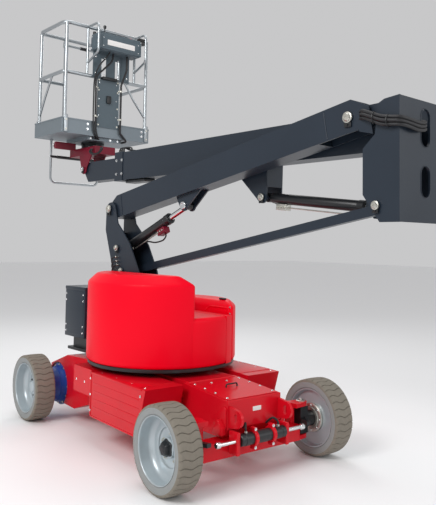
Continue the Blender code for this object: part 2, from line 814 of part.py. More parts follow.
def cheek_outline():
    """The riser's cheek: an ear round the boom pin on a post that leans towards the machine's middle."""
    x, z = RISER_PIN
    ear = arc((x + 0.012, z - 0.018), 0.078, 20, 200, 8)
    return ear + [
        (x - 0.066, z - 0.19),
        (x + 0.10, z - 0.64),
        (x + 0.16, HOOD_BOTTOM + GAP),
        (x + 0.60, HOOD_BOTTOM + GAP),
        (x + 0.47, z - 0.55),
        (x + 0.33, z - 0.32),
        (x + 0.21, z - 0.20),
        (x + 0.13, z - 0.13),
    ]


def build_riser(paint, parent):
    """Two cheeks, a front plate low down, and the pins of boom, link and cylinder."""
    near = prism("riser", cheek_outline(), "Y", RISER_NEAR, RISER_NEAR + PLATE, paint, parent)
    far = prism("far_cheek_shape", cheek_outline(), "Y", RISER_FAR - PLATE, RISER_FAR, parent=parent)
    x, z = RISER_PIN
    back = [
        (x + 0.165, HOOD_BOTTOM + GAP),
        (x + 0.185, HOOD_BOTTOM + GAP),
        (x + 0.125, z - 0.64),
        (x - 0.028, z - 0.21),
        (x - 0.048, z - 0.21),
        (x + 0.105, z - 0.64),
    ]
    inside = (RISER_NEAR + 0.004, RISER_FAR - 0.004)
    back_plate = prism("back_plate_shape", back, "Y", *inside, parent=parent)
    front = block(
        "front_plate_shape",
        (x + 0.40, inside[0], HOOD_BOTTOM + GAP),
        (x + 0.42, inside[1], z - 0.70),
        parent=parent,
    )
    pins = []
    for name, (px, pz), radius in (
        ("boom_pin_shape", RISER_PIN, PIN_RADIUS),
        ("link_pin_shape", link_pin(), LINK_PIN_RADIUS),
        ("cylinder_pin_shape", LOWER_BARREL_FOOT, BARREL_PIN_RADIUS),
    ):
        start = (px, RISER_NEAR - 0.012, pz)
        end = (px, RISER_FAR + 0.012, pz)
        pins.append(rod_between(name, start, end, radius, parent=parent))
    return joined(near, far, back_plate, front, *pins)


def build_turntable(paints, slew):
    build_deck(paints["boom_slate"], slew)
    build_hoods(paints["hood_red"], slew)
    build_counterweight(paints["hood_red"], slew)
    build_electrical_box(paints["black_steel"], slew)
    build_riser(paints["boom_slate"], slew)


# ---------------------------------------------------------------- lower boom, link and upright
def build_lower_boom(paint, parent):
    """Box section in its own frame: pin at the origin, +X towards the upright, open at that end."""
    near = LOWER_MIDDLE - LOWER_WIDTH / 2
    far = LOWER_MIDDLE + LOWER_WIDTH / 2
    low = -LOWER_AXIS_HEIGHT
    high = LOWER_HEIGHT - LOWER_AXIS_HEIGHT
    tip = LOWER_LENGTH + 0.153
    outline = [
        (0.09, high),
        (-0.03, high - 0.065),
        (-0.055, high - 0.11),
        (-0.045, low + 0.03),
        (0.02, low),
        (LOWER_LENGTH + 0.06, low),
        (LOWER_LENGTH + 0.06, low - 0.012),
        (tip, low - 0.055),
        (tip, high - 0.078),
        (LOWER_LENGTH + 0.033, high),
    ]
    boom = prism("lower_boom", outline, "Y", near, far, paint, parent)
    mouth = block(
        "mouth_shape",
        (LOWER_LENGTH - 0.26, near + PLATE, -0.3),
        (tip + 0.05, far - PLATE, high - PLATE),
        parent=parent,
    )
    roof = block(
        "roof_shape",
        (LOWER_LENGTH + 0.034, near + PLATE, 0.0),
        (tip + 0.05, far - PLATE, high + 0.05),
        parent=parent,
    )
    reach = PIN_RADIUS + PIN_CLEARANCE
    hole = rod_between("boom_hole", (0, -0.3, 0), (0, 0.3, 0), reach, parent=parent)
    end = LOWER_LENGTH
    end_hole = rod_between("upright_hole", (end, -0.3, 0), (end, 0.3, 0), reach, parent=parent)
    eye_x, eye_z = in_boom_frame(LOWER_EYE)
    lug_outline = [(eye_x - 0.09, low + 0.01), (eye_x - 0.045, eye_z - 0.02)]
    lug_outline += arc((eye_x, eye_z), 0.045, 200, 330, 8)
    lug_outline += [(eye_x + 0.24, low + 0.01)]
    lugs = []
    for side in (-1, 1):
        inner = LOWER_MIDDLE + side * (EYE_WIDTH / 2 + 0.005)
        outer = inner + side * PLATE
        low_y, high_y = sorted((inner, outer))
        lugs.append(prism("lug_shape", lug_outline, "Y", low_y, high_y, parent=parent))
        boss_start = (eye_x, outer - side * 0.004, eye_z)
        boss_end = (eye_x, outer + side * 0.014, eye_z)
        lugs.append(rod_between("lug_boss_shape", boss_start, boss_end, 0.026, parent=parent))
    return joined(cut(boom, mouth, roof, hole, end_hole), *lugs)


def in_boom_frame(point):
    """A point of the turntable's XZ plane, in the lower boom's own frame."""
    dx = point[0] - RISER_PIN[0]
    dz = point[1] - RISER_PIN[1]
    return (
        dx * cos(LOWER_AT_REST) + dz * sin(LOWER_AT_REST),
        dz * cos(LOWER_AT_REST) - dx * sin(LOWER_AT_REST),
    )


def build_link(paint, parent):
    """The tension bar under the boom, an eye at each end."""
    near = LINK_MIDDLE - LINK_WIDTH / 2
    far = LINK_MIDDLE + LINK_WIDTH / 2
    half = LINK_HEIGHT / 2
    outline = arc((0, 0), half, 90, 270, 8) + arc((LOWER_LENGTH, 0), half, -90, 90, 8)
    bar = prism("tension_link", outline, "Y", near, far, paint, parent)
    holes = []
    reach = LINK_PIN_RADIUS + PIN_CLEARANCE
    for x in (0, LOWER_LENGTH):
        holes.append(rod_between("link_hole", (x, -0.3, 0), (x, 0.3, 0), reach, parent=parent))
    return cut(bar, *holes)


def upright_pin():
    return (
        RISER_PIN[0] + LOWER_LENGTH * cos(LOWER_AT_REST),
        RISER_PIN[1] + LOWER_LENGTH * sin(LOWER_AT_REST),
    )


def build_upright(paint, parent):
    """Folded near, middle and far plates on a back plate, with ears inside the boom's mouth."""
    back = UPRIGHT_BACK
    top = UPRIGHT_TOP
    bottom = UPRIGHT_BOTTOM
    near_outline = [
        (back, top),
        (2.236, top - 0.011),
        (2.198, top - 0.03),
        (2.172, 2.215),
        (2.087, 2.137),
        (2.087, 1.864),
        (2.204, bottom),
        (back, bottom),
    ]
    inner_outline = [
        (back - 0.004, top - 0.02),
        (UPPER_PIN[0] - 0.05, top - 0.02),
        (2.03, 2.20),
        (2.0, 1.97),
        (1.97, 1.80),
        (2.03, bottom + 0.03),
        (back - 0.004, bottom + 0.005),
    ]
    near = prism("upright", near_outline, "Y", UPRIGHT_NEAR, UPRIGHT_NEAR + PLATE, paint, parent)
    mid = prism("mid_plate_shape", inner_outline, "Y", UPRIGHT_MID, UPRIGHT_MID + PLATE, parent=parent)
    far = prism("far_plate_shape", inner_outline, "Y", UPRIGHT_FAR - PLATE, UPRIGHT_FAR, parent=parent)
    sheet = block(
        "back_plate_shape",
        (back - PLATE, UPRIGHT_NEAR + 0.002, bottom + 0.001),
        (back - 0.0005, UPRIGHT_FAR - 0.002, top - 0.001),
        parent=parent,
    )
    pin_x, pin_z = upright_pin()
    ears = []
    for middle in (LOWER_MIDDLE - 0.044, LOWER_MIDDLE + 0.044):
        outline = arc((pin_x, pin_z), 0.06, 90, 270, 8)
        outline += [(back - 0.004, pin_z - 0.09), (back - 0.004, pin_z + 0.07)]
        low_y = middle - PLATE / 2
        ears.append(prism("ear_shape", outline, "Y", low_y, low_y + PLATE, parent=parent))
    pins = []
    half = LOWER_WIDTH / 2 + 0.006
    inside = UPRIGHT_MID + 0.004
    link_x = pin_x + LINK_OFFSET[0]
    link_z = pin_z + LINK_OFFSET[1]
    for x, z, low_y, high_y, radius in (
        (pin_x, pin_z, LOWER_MIDDLE - half, LOWER_MIDDLE + half, PIN_RADIUS),
        (link_x, link_z, UPRIGHT_NEAR - 0.012, inside, LINK_PIN_RADIUS),
        (*UPPER_PIN, inside, UPRIGHT_FAR + 0.012, PIN_RADIUS),
    ):
        pins.append(rod_between("pin_shape", (x, low_y, z), (x, high_y, z), radius, parent=parent))
    windows = []
    for top_z, low_z in ((1.99, 1.90), (2.33, 2.20)):
        outline = arc((WINDOW_MIDDLE, top_z), WINDOW_HALF, 0, 180, 8)
        outline += arc((WINDOW_MIDDLE, low_z), WINDOW_HALF, 180, 360, 8)
        windows.append(prism("back_window", outline, "X", back - 0.05, back + 0.05, parent=parent))
    cut(sheet, *windows)
    return joined(near, sheet, mid, far, *ears, *pins)


def build_upper_boom(paint, parent):
    """The outer section: a tube open at the fly end, with the cylinder's lug under it."""
    near = UPPER_MIDDLE - UPPER_WIDTH / 2
    far = UPPER_MIDDLE + UPPER_WIDTH / 2
    pin_x, pin_z = UPPER_PIN
    outline = [(UPPER_OUTER_END, UPPER_BOTTOM), (pin_x - 0.10, UPPER_BOTTOM)]
    outline += arc((pin_x, pin_z), 0.115, -60, 75, 8)
    outline += [(pin_x - 0.05, UPPER_TOP), (UPPER_OUTER_END, UPPER_TOP)]
    boom = prism("upper_boom", outline, "Y", near, far, paint, parent)
    hollow = block(
        "boom_hollow",
        (UPPER_OUTER_END - 0.05, near + UPPER_WALL, UPPER_BOTTOM + UPPER_WALL),
        (FLY_TAIL + 0.15, far - UPPER_WALL, UPPER_TOP - UPPER_WALL),
        parent=parent,
    )
    collar = block(
        "collar_shape",
        (UPPER_OUTER_END - 0.004, near - 0.006, UPPER_BOTTOM - 0.006),
        (UPPER_OUTER_END + 0.13, far + 0.006, UPPER_TOP + 0.006),
        parent=parent,
    )
    reach = PIN_RADIUS + PIN_CLEARANCE
    hole = rod_between("upper_hole", (pin_x, -0.1, pin_z), (pin_x, 0.5, pin_z), reach, parent=parent)
    foot_x, foot_z = UPPER_BARREL_FOOT
    side_outline = [(foot_x - 0.335, UPPER_BOTTOM + 0.004), (foot_x - 0.035, foot_z - 0.03)]
    side_outline += arc((foot_x, foot_z), 0.045, 225, 330, 6)
    side_outline += [(foot_x + 0.045, UPPER_BOTTOM + 0.004)]
    lugs = []
    for low, high in ((near, near + PLATE), (far - PLATE, far)):
        lugs.append(prism("upper_lug_shape", side_outline, "Y", low, high, parent=parent))
    lugs.append(
        block(
            "lug_front_shape",
            (foot_x + 0.033, near + 0.004, foot_z + 0.075),
            (foot_x + 0.0445, far - 0.004, UPPER_BOTTOM + 0.004),
            parent=parent,
        )
    )
    pin_start = (foot_x, near - 0.012, foot_z)
    pin_end = (foot_x, far + 0.012, foot_z)
    pin = rod_between("barrel_pin_shape", pin_start, pin_end, BARREL_PIN_RADIUS, parent=parent)
    joined(boom, collar)
    cut(boom, hollow, hole)
    return joined(boom, *lugs, pin)


def build_slide_pads(paint, parent):
    """The pad carrier under the boom's mouth."""
    low = (UPPER_OUTER_END + 0.14, UPPER_MIDDLE - 0.06, UPPER_BOTTOM - 0.03)
    high = (UPPER_OUTER_END + 0.46, UPPER_MIDDLE + 0.06, UPPER_BOTTOM - GAP)
    return block("slide_pad_carrier", low, high, paint, parent, edge=0.006)


def build_fly(paint, parent):
    """The inner section, pointed at the levelling pin, with a ring of pads that runs in the outer tube."""
    near = UPPER_MIDDLE - FLY_WIDTH / 2
    far = UPPER_MIDDLE + FLY_WIDTH / 2
    outline = [
        (FLY_TAIL, FLY_BOTTOM),
        (FLY_TAIL, FLY_TOP),
        (FLY_END, FLY_TOP),
        (FLY_TIP, FLY_TOP - 0.055),
        (FLY_TIP + 0.005, FLY_TOP - 0.085),
        (FLY_END + 0.02, FLY_BOTTOM),
    ]
    fly = prism("fly_boom", outline, "Y", near, far, paint, parent)
    inset = UPPER_WALL + PAD_GAP
    half = UPPER_WIDTH / 2 - inset
    pad = block(
        "tail_pad_shape",
        (FLY_TAIL - 0.10, UPPER_MIDDLE - half, UPPER_BOTTOM + inset),
        (FLY_TAIL - 0.02, UPPER_MIDDLE + half, UPPER_TOP - inset),
        parent=parent,
    )
    slot = block(
        "tip_slot",
        (FLY_TIP - 0.05, UPPER_MIDDLE - 0.045, FLY_BOTTOM - 0.05),
        (FLY_END + 0.10, UPPER_MIDDLE + 0.045, FLY_TOP + 0.05),
        parent=parent,
    )
    hole = rod_between(
        "level_hole",
        (LEVEL_PIN[0], near - 0.05, LEVEL_PIN[1]),
        (LEVEL_PIN[0], far + 0.05, LEVEL_PIN[1]),
        LEVEL_PIN_RADIUS + PIN_CLEARANCE,
        parent=parent,
    )
    return cut(joined(fly, pad), slot, hole)


# ---------------------------------------------------------------- lift cylinders
def build_cylinder(name, foot, eye, radius, length, tail, paints, barrel_frame, rod_frame):
    """A barrel from its foot towards the eye, and a chromed rod that slides in its bore."""
    stretch = hypot(eye[0] - foot[0], eye[1] - foot[1])
    rod_radius = radius * ROD_SHARE
    bore = rod_radius + PIN_CLEARANCE
    half_eye = EYE_WIDTH / 2
    barrel = turned(
        name + "_barrel",
        [
            (0.0, 0.0),
            (0.0, radius * 0.8),
            (0.03, radius),
            (length - 0.05, radius),
            (length - 0.05, radius + 0.004),
            (length, radius + 0.004),
            (length, bore),
            (tail * 0.35, bore),
            (tail * 0.35, 0.0),
        ],
        (0, 0, 0),
        (1, 0, 0),
        paints["black_steel"],
        barrel_frame,
        around=24,
    )
    foot_ends = ((0, -half_eye, 0), (0, half_eye, 0))
    foot_eye = rod_between(name + "_foot_shape", *foot_ends, EYE_RADIUS, parent=barrel_frame)
    hole_ends = ((0, -0.2, 0), (0, 0.2, 0))
    hole_radius = BARREL_PIN_RADIUS + PIN_CLEARANCE
    pin_hole = rod_between(name + "_foot_hole", *hole_ends, hole_radius, parent=barrel_frame)
    cut(joined(barrel, foot_eye), pin_hole)
    rod = turned(
        name + "_rod",
        [(tail, 0.0), (tail, rod_radius), (stretch, rod_radius), (stretch, 0.0)],
        (0, 0, 0),
        (1, 0, 0),
        paints["bright_steel"],
        rod_frame,
        around=20,
    )
    eye_ends = ((stretch, -half_eye, 0), (stretch, half_eye, 0))
    eye_ring = rod_between(name + "_eye_shape", *eye_ends, EYE_RADIUS, parent=rod_frame)
    joined(rod, eye_ring)


# ---------------------------------------------------------------- platform
def build_bracket(paint, parent):
    """The levelling bracket: two legs outside the fly's end, and a box that carries the rotator."""
    x, z = LEVEL_PIN
    low = BRACKET_TOP - BRACKET_THICKNESS
    near = UPPER_MIDDLE - FLY_WIDTH / 2 - 0.007 - PLATE
    far = UPPER_MIDDLE + FLY_WIDTH / 2 + 0.007 + PLATE
    body = block(
        "platform_bracket",
        (x - 0.30, near, low),
        (x + 0.22, far + 0.06, BRACKET_TOP),
        paint,
        parent,
    )
    leg_outline = arc((x, z), 0.052, 170, 370, 8)
    leg_outline += [(x + 0.16, low + 0.01), (x - 0.10, low + 0.01)]
    legs = []
    for side in (near, far - PLATE):
        legs.append(prism("leg_shape", leg_outline, "Y", side, side + PLATE, parent=parent))
    flange = block(
        "flange_shape",
        (x - 0.23, near - FLANGE_REACH, BRACKET_TOP - 0.012),
        (x - 0.19, near + 0.01, FLOOR_BOTTOM - FRAME_DEPTH - 0.009),
        parent=parent,
    )
    pin_ends = ((x, near - 0.01, z), (x, far + 0.01, z))
    pin = rod_between("level_pin_shape", *pin_ends, LEVEL_PIN_RADIUS, parent=parent)
    return joined(body, *legs, flange, pin)


def build_rotator(paint, parent):
    """The swing actuator that stands on the bracket under the platform's frame."""
    height = FLOOR_BOTTOM - FRAME_DEPTH - BRACKET_TOP - 2 * GAP
    profile = [(0.0, 0.0), (0.0, ROTATOR_RADIUS), (height, ROTATOR_RADIUS), (height, 0.0)]
    centre = (*SWING_AXIS, BRACKET_TOP + GAP)
    return turned("rotator", profile, centre, (0, 0, 1), paint, parent, around=28)


def build_floor(paint, parent):
    """Floor plate with toe boards all round, on a frame above the rotator."""
    low = (PLATFORM_BACK, PLATFORM_NEAR, FLOOR_BOTTOM)
    high = (PLATFORM_FRONT, PLATFORM_FAR, FLOOR_BOTTOM + FLOOR_THICKNESS)
    floor = block("platform_floor", low, high, paint, parent)
    top = FLOOR_BOTTOM + TOE_HEIGHT
    inset = TOE_THICKNESS
    edges = (
        ((PLATFORM_BACK, PLATFORM_NEAR), (PLATFORM_FRONT, PLATFORM_NEAR + inset)),
        ((PLATFORM_BACK, PLATFORM_FAR - inset), (PLATFORM_FRONT, PLATFORM_FAR)),
        ((PLATFORM_FRONT - inset, PLATFORM_NEAR), (PLATFORM_FRONT, PLATFORM_FAR)),
        ((PLATFORM_BACK, PLATFORM_NEAR), (PLATFORM_BACK + inset, PLATFORM_FAR)),
    )
    boards = []
    for (x0, y0), (x1, y1) in edges:
        boards.append(block("toe_shape", (x0, y0, low[2] + 0.01), (x1, y1, top), parent=parent))
    x, y = SWING_AXIS
    under = block(
        "under_frame_shape",
        (x - 0.20, y - 0.20, FLOOR_BOTTOM - FRAME_DEPTH),
        (x + 0.24, y + 0.20, FLOOR_BOTTOM + 0.01),
        parent=parent,
    )
    return joined(floor, *boards, under)


def rail_corner(toward_front, toward_far):
    """Centre line of a corner post."""
    inset = RAIL_RADIUS + 0.001
    x = PLATFORM_FRONT - inset if toward_front else PLATFORM_BACK + inset
    y = PLATFORM_FAR - inset if toward_far else PLATFORM_NEAR + inset
    return x, y


def build_rails(paint, parent):
    """A hoop round the top on posts, middle rails, and the guard loops beside the control box."""
    front, near = rail_corner(True, False)
    back, far = rail_corner(False, True)
    foot = FLOOR_BOTTOM + TOE_HEIGHT + GAP
    bend = 0.05
    seam = (ENTRY_NEAR + ENTRY_FAR) / 2
    hoop = [
        (back, seam, RAIL_TOP),
        (back, far, RAIL_TOP),
        (front, far, RAIL_TOP),
        (front, near, RAIL_TOP),
        (back, near, RAIL_TOP),
        (back, seam - 0.002, RAIL_TOP),
    ]
    rails = pipe("platform_rails", hoop, RAIL_RADIUS, paint, parent, bend)
    cover = ((back, seam - 0.03, RAIL_TOP), (back, seam + 0.03, RAIL_TOP))
    sleeve = RAIL_RADIUS + 0.003
    others = [rod_between("rail_seam_shape", *cover, sleeve, parent=parent, around=9)]
    for side, jamb in ((near, ENTRY_NEAR), (far, ENTRY_FAR)):
        path = [(back, side, RAIL_MIDDLE), (back, jamb, RAIL_MIDDLE), (back, jamb, RAIL_TOP)]
        others.append(pipe("entry_post_shape", path, RAIL_RADIUS - 0.0002, None, parent, bend))
    aside = 0.02
    drop = 0.013
    bars = [
        ((front, near + aside, foot), (front, near + aside, RAIL_TOP)),
        ((front, far - aside, foot), (front, far - aside, RAIL_TOP)),
        ((back, near + aside, foot), (back, near + aside, RAIL_TOP)),
        ((back, far - aside, foot), (back, far - aside, RAIL_TOP)),
        ((front, near + aside, RAIL_MIDDLE), (front, far - aside, RAIL_MIDDLE)),
        ((front, near + aside, RAIL_MIDDLE + drop), (back, near, RAIL_MIDDLE + drop)),
        ((front, far - aside, RAIL_MIDDLE + drop), (back, far - aside, RAIL_MIDDLE + drop)),
    ]
    bar_radius = RAIL_RADIUS - 0.0004
    for start, end in bars:
        others.append(rod_between("bar_shape", start, end, bar_radius, parent=parent, around=9))
    out = CONTROL_BOX_HIGH[0] + 0.03
    for y in (CONTROL_BOX_LOW[1] - 0.03, CONTROL_BOX_HIGH[1] + 0.03):
        path = [
            (front, y, RAIL_TOP),
            (out, y, RAIL_TOP),
            (out, y, CONTROL_BOX_LOW[2] - 0.05),
            (front, y, CONTROL_BOX_LOW[2] - 0.13),
        ]
        others.append(pipe("guard_shape", path, 0.012, None, parent, 0.05, around=8))
        post = ((front, y, RAIL_MIDDLE), (front, y, RAIL_TOP))
        others.append(rod_between("guard_post_shape", *post, 0.014, parent=parent, around=9))
    return joined(rails, *others)


def build_control_box(box_paint, plate_paint, parent):
    """The box outside the top rail, on a plate with two slots and a shelf."""
    low = CONTROL_BOX_LOW
    high = CONTROL_BOX_HIGH
    box = block("platform_control_box", low, high, box_paint, parent, edge=0.012)
    rail_face = rail_corner(True, False)[0] + RAIL_RADIUS + GAP
    base = low[2] - GAP
    plate = block(
        "control_box_bracket",
        (rail_face, low[1] + 0.02, RAIL_MIDDLE - 0.012),
        (rail_face + SHELF, high[1] - 0.05, base),
        plate_paint,
        parent,
    )
    shelf = block(
        "shelf_shape",
        (rail_face, low[1] + 0.02, base - SHELF),
        (high[0] - 0.01, high[1] - 0.02, base),
        parent=parent,
    )
    slots = []
    centre = (low[1] + high[1]) / 2
    for middle in (centre - 0.11, centre + 0.06):
        slot = block(
            "bracket_gap",
            (rail_face - 0.05, middle - 0.03, RAIL_MIDDLE - 0.05),
            (rail_face + 0.05, middle + 0.03, base - 0.06),
            parent=parent,
        )
        slots.append(slot)
    cut(joined(plate, shelf), *slots)
    return box


def build_support_plate(paint, parent):
    """The plate between the middle rail and the floor where the platform is held."""
    face = PLATFORM_FRONT + GAP
    low = (face, 0.16, FLOOR_BOTTOM + 0.10)
    high = (face + 0.008, 0.415, RAIL_MIDDLE - 0.013)
    plate = block("support_plate", low, high, paint, parent)
    holes = []
    for y in (0.185, 0.39):
        for z in (2.86, 3.03, 3.20):
            ends = ((face - 0.02, y, z), (face + 0.03, y, z))
            holes.append(rod_between("plate_hole", *ends, 0.008, parent=parent, around=12))
    return cut(plate, *holes)


def build_platform_hoses(paint, parent):
    """The hose that runs from the control box down beside the support plate."""
    face = PLATFORM_FRONT + 0.008 + GAP
    x = face + HOSE_RADIUS + GAP
    path = [
        (x + 0.06, 0.46, CONTROL_BOX_LOW[2] - SHELF - 2 * GAP),
        (x + 0.06, 0.46, RAIL_MIDDLE + 0.10),
        (x, 0.435, RAIL_MIDDLE - 0.05),
        (x, 0.435, FLOOR_BOTTOM + 0.06),
        (x, 0.52, FLOOR_BOTTOM - 0.02),
        (x - 0.10, 0.52, FLOOR_BOTTOM - 0.02),
    ]
    return pipe("platform_hose", path, HOSE_RADIUS, paint, parent, 0.04, around=8)


def build_foot_guard(paint, parent):
    """The loop that hangs below the platform's far edge, with a cross bar."""
    x = PLATFORM_BACK + 0.03
    low_y = -0.05
    high_y = 0.52
    path = [
        (x, low_y, FLOOR_BOTTOM - GAP),
        (x, low_y, FOOT_LOOP_BOTTOM + 0.012),
        (x, high_y, FOOT_LOOP_BOTTOM + 0.012),
        (x, high_y, FLOOR_BOTTOM - GAP),
    ]
    loop = pipe("foot_guard", path, 0.012, paint, parent, 0.05, around=8)
    ends = ((x, low_y, GUARD_BAR_AT), (x, high_y, GUARD_BAR_AT))
    bar = rod_between("guard_bar_shape", *ends, 0.014, parent=parent, around=10)
    return joined(loop, bar)


def build_entry_bar(paint, parent):
    """The bar across the entrance, raised, with a sleeve round the upright tube at each side."""
    x, _ = rail_corner(False, False)
    clear = RAIL_RADIUS + 0.002
    ends = ((x, ENTRY_NEAR + clear, ENTRY_BAR_AT), (x, ENTRY_FAR - clear, ENTRY_BAR_AT))
    bar = rod_between("entry_bar", *ends, 0.014, paint, parent)
    sleeves = []
    bore = RAIL_RADIUS + PIN_CLEARANCE
    half = ENTRY_SLEEVE_HALF
    for y in (ENTRY_NEAR, ENTRY_FAR):
        profile = [(-half, bore), (-half, ENTRY_SLEEVE), (half, ENTRY_SLEEVE), (half, bore)]
        centre = (x, y, ENTRY_BAR_AT)
        sleeves.append(turned("sleeve_shape", profile, centre, (0, 0, 1), None, parent))
    return joined(bar, *sleeves)


# ---------------------------------------------------------------- the whole machine
def build_booms(paints, slew):
    """Everything from the lower boom to the fly, each piece on the frame of its own joint."""
    slate = paints["boom_slate"]
    pin_x, pin_z = RISER_PIN
    lower = frame("lower_boom_hinge", (pin_x, LOWER_MIDDLE, pin_z), slew, -LOWER_AT_REST)
    lower["home"] = (0.0, LOWER_MIDDLE, 0.0)
    build_lower_boom(slate, lower)
    link_x, link_z = link_pin()
    link = frame("tension_link_hinge", (link_x, LINK_MIDDLE, link_z), slew, -LOWER_AT_REST)
    link["home"] = (0.0, LINK_MIDDLE, 0.0)
    build_link(slate, link)
    x, z = upright_pin()
    upright = frame("upright_hinge", (x, LOWER_MIDDLE, z), slew, shared=True)
    build_upright(slate, upright)
    upper = frame("upper_boom_hinge", (UPPER_PIN[0], UPPER_MIDDLE, UPPER_PIN[1]), slew, shared=True)
    build_upper_boom(slate, upper)
    build_slide_pads(paints["black_steel"], upper)
    fly_place = (UPPER_OUTER_END, UPPER_MIDDLE, (FLY_BOTTOM + FLY_TOP) / 2)
    fly = frame("telescope_slide", fly_place, slew, shared=True)
    build_fly(slate, fly)


def build_cylinders(paints, slew):
    """The two lift cylinders, each a barrel on its pin and a rod that slides in it."""
    for name, foot, eye, middle, radius, length, tail in (
        (
            "lower",
            LOWER_BARREL_FOOT,
            LOWER_EYE,
            LOWER_MIDDLE,
            LOWER_BARREL_RADIUS,
            LOWER_BARREL_LENGTH,
            LOWER_ROD_TAIL,
        ),
        (
            "upper",
            UPPER_BARREL_FOOT,
            UPPER_EYE,
            UPPER_MIDDLE,
            UPPER_BARREL_RADIUS,
            UPPER_BARREL_LENGTH,
            UPPER_ROD_TAIL,
        ),
    ):
        lean = -atan2(eye[1] - foot[1], eye[0] - foot[0])
        place = (foot[0], middle, foot[1])
        barrel = frame(f"{name}_barrel_hinge", place, slew, lean)
        rod = frame(f"{name}_rod_slide", place, slew, lean)
        build_cylinder(name, foot, eye, radius, length, tail, paints, barrel, rod)


def build_platform(paints, slew):
    level_place = (LEVEL_PIN[0], UPPER_MIDDLE, LEVEL_PIN[1])
    level = frame("platform_level_hinge", level_place, slew, shared=True)
    build_bracket(paints["crimson"], level)
    build_rotator(paints["black_steel"], level)
    swing = frame("platform_swing_hinge", (*SWING_AXIS, FLOOR_BOTTOM), slew, shared=True)
    build_floor(paints["floor_grey"], swing)
    build_rails(paints["rail_steel"], swing)
    build_control_box(paints["control_grey"], paints["black_steel"], swing)
    build_support_plate(paints["floor_grey"], swing)
    build_platform_hoses(paints["hose_black"], swing)
    build_foot_guard(paints["rail_steel"], swing)
    entry_place = (rail_corner(False, False)[0], (ENTRY_NEAR + ENTRY_FAR) / 2, ENTRY_BAR_AT)
    entry = frame("entry_bar_slide", entry_place, slew, shared=True)
    build_entry_bar(paints["rail_steel"], entry)


def centre_on_floor(root):
    """Moves the machine so that the middle of its bounding box's bottom is the origin."""
    bpy.context.view_layer.update()
    graph = bpy.context.evaluated_depsgraph_get()
    low = Vector((1e9, 1e9, 1e9))
    high = -low
    for item in bpy.data.objects:
        if item.type != "MESH" or item.hide_render:
            continue
        mesh = item.evaluated_get(graph).to_mesh()
        for vertex in mesh.vertices:
            point = item.matrix_world @ vertex.co
            low = Vector(map(min, low, point))
            high = Vector(map(max, high, point))
        item.evaluated_get(graph).to_mesh_clear()
    root.location = (-(low.x + high.x) / 2, -(low.y + high.y) / 2, -low.z)


def main():
    clear_scene()
    paints = build_materials()
    root = frame("machine", (0, 0, 0))
    build_chassis(paints, root)
    slew = frame("slew_hinge", (SLEW_X, 0, 0), root, SLEW_AT_REST, "Z")
    build_turntable(paints, slew)
    build_booms(paints, slew)
    build_cylinders(paints, slew)
    build_platform(paints, slew)
    centre_on_floor(root)


main()
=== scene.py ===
"""Looks of the articulating boom lift: treads, rims, mouldings, tubes, hoses, bolts and paints.

Each piece is worked out from its own formula, in metres, and rides on a body of the machine.
Chassis coordinates have +X towards the steered axle. Turntable coordinates start on the slewing
axis, with +X from the platform end to the upright.
"""

import json
from math import asin, atan2, cos, hypot, pi, radians, sin

import bmesh
import bpy
import numpy as np
from mathutils import Matrix, Vector

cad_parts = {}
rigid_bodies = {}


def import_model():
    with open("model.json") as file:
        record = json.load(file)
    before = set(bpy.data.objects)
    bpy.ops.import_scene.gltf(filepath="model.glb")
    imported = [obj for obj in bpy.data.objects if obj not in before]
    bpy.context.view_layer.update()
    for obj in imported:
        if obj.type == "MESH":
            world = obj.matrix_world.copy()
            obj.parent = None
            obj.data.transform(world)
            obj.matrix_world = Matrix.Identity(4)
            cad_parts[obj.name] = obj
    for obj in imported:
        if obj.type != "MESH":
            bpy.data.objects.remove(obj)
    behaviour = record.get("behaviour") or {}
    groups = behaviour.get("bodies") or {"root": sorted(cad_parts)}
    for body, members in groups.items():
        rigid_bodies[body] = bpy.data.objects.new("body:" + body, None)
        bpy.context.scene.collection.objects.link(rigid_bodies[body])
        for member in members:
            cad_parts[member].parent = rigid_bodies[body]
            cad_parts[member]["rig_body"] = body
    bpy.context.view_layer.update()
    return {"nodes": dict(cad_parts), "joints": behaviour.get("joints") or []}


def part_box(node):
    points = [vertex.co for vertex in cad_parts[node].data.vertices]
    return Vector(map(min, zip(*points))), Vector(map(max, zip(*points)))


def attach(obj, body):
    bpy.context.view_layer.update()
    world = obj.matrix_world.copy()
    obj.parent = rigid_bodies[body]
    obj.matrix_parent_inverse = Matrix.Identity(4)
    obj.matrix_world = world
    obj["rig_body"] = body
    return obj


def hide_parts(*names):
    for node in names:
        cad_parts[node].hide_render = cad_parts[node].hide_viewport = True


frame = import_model()
NODES = frame["nodes"]
JOINTS = {joint["name"]: joint for joint in frame["joints"]}

# ---------------------------------------------------------------- places
SLEW_AXIS = np.array(JOINTS["slew"]["pos_m"], float)
BOOM_AXIS = np.array(JOINTS["lower_boom"]["axis"], float)
SLEW_TURN = atan2(BOOM_AXIS[0], -BOOM_AXIS[1])
SLEW_X = -0.06
CHASSIS_SHIFT = np.array([SLEW_AXIS[0] - SLEW_X, 0.0, 0.0])
RISER_PIN = (-0.67, 1.86)
RISER_LINK_PIN = (-0.45, 1.315)
LINK_OFFSET = (0.22, -0.545)
UPPER_PIN = (2.13, 2.29)
LOWER_FOOT, LOWER_EYE = (-0.53, 1.51), (0.33, 1.862)
UPPER_FOOT, UPPER_EYE = (1.04, 1.908), (2.05, 1.797)
LEVEL_PIN = (-1.545, 2.305)
SWING_AXIS = (-1.69, 0.292)
BOOM_LEAN = radians(10.4)
BOOM_LENGTH = 2.68
LOWER_MIDDLE = -0.005
UPPER_MIDDLE = 0.20
BOOM_PIN_RADIUS, CYLINDER_PIN_RADIUS, LINK_PIN_RADIUS = 0.024, 0.018, 0.016
AXLE_X, AXLE_Z, KING_PIN_Y = 1.06, 0.2795, 0.5
STEERING_CYLINDER = (1.195, 0.0, 0.2775)
SIDE_FACE = 0.62
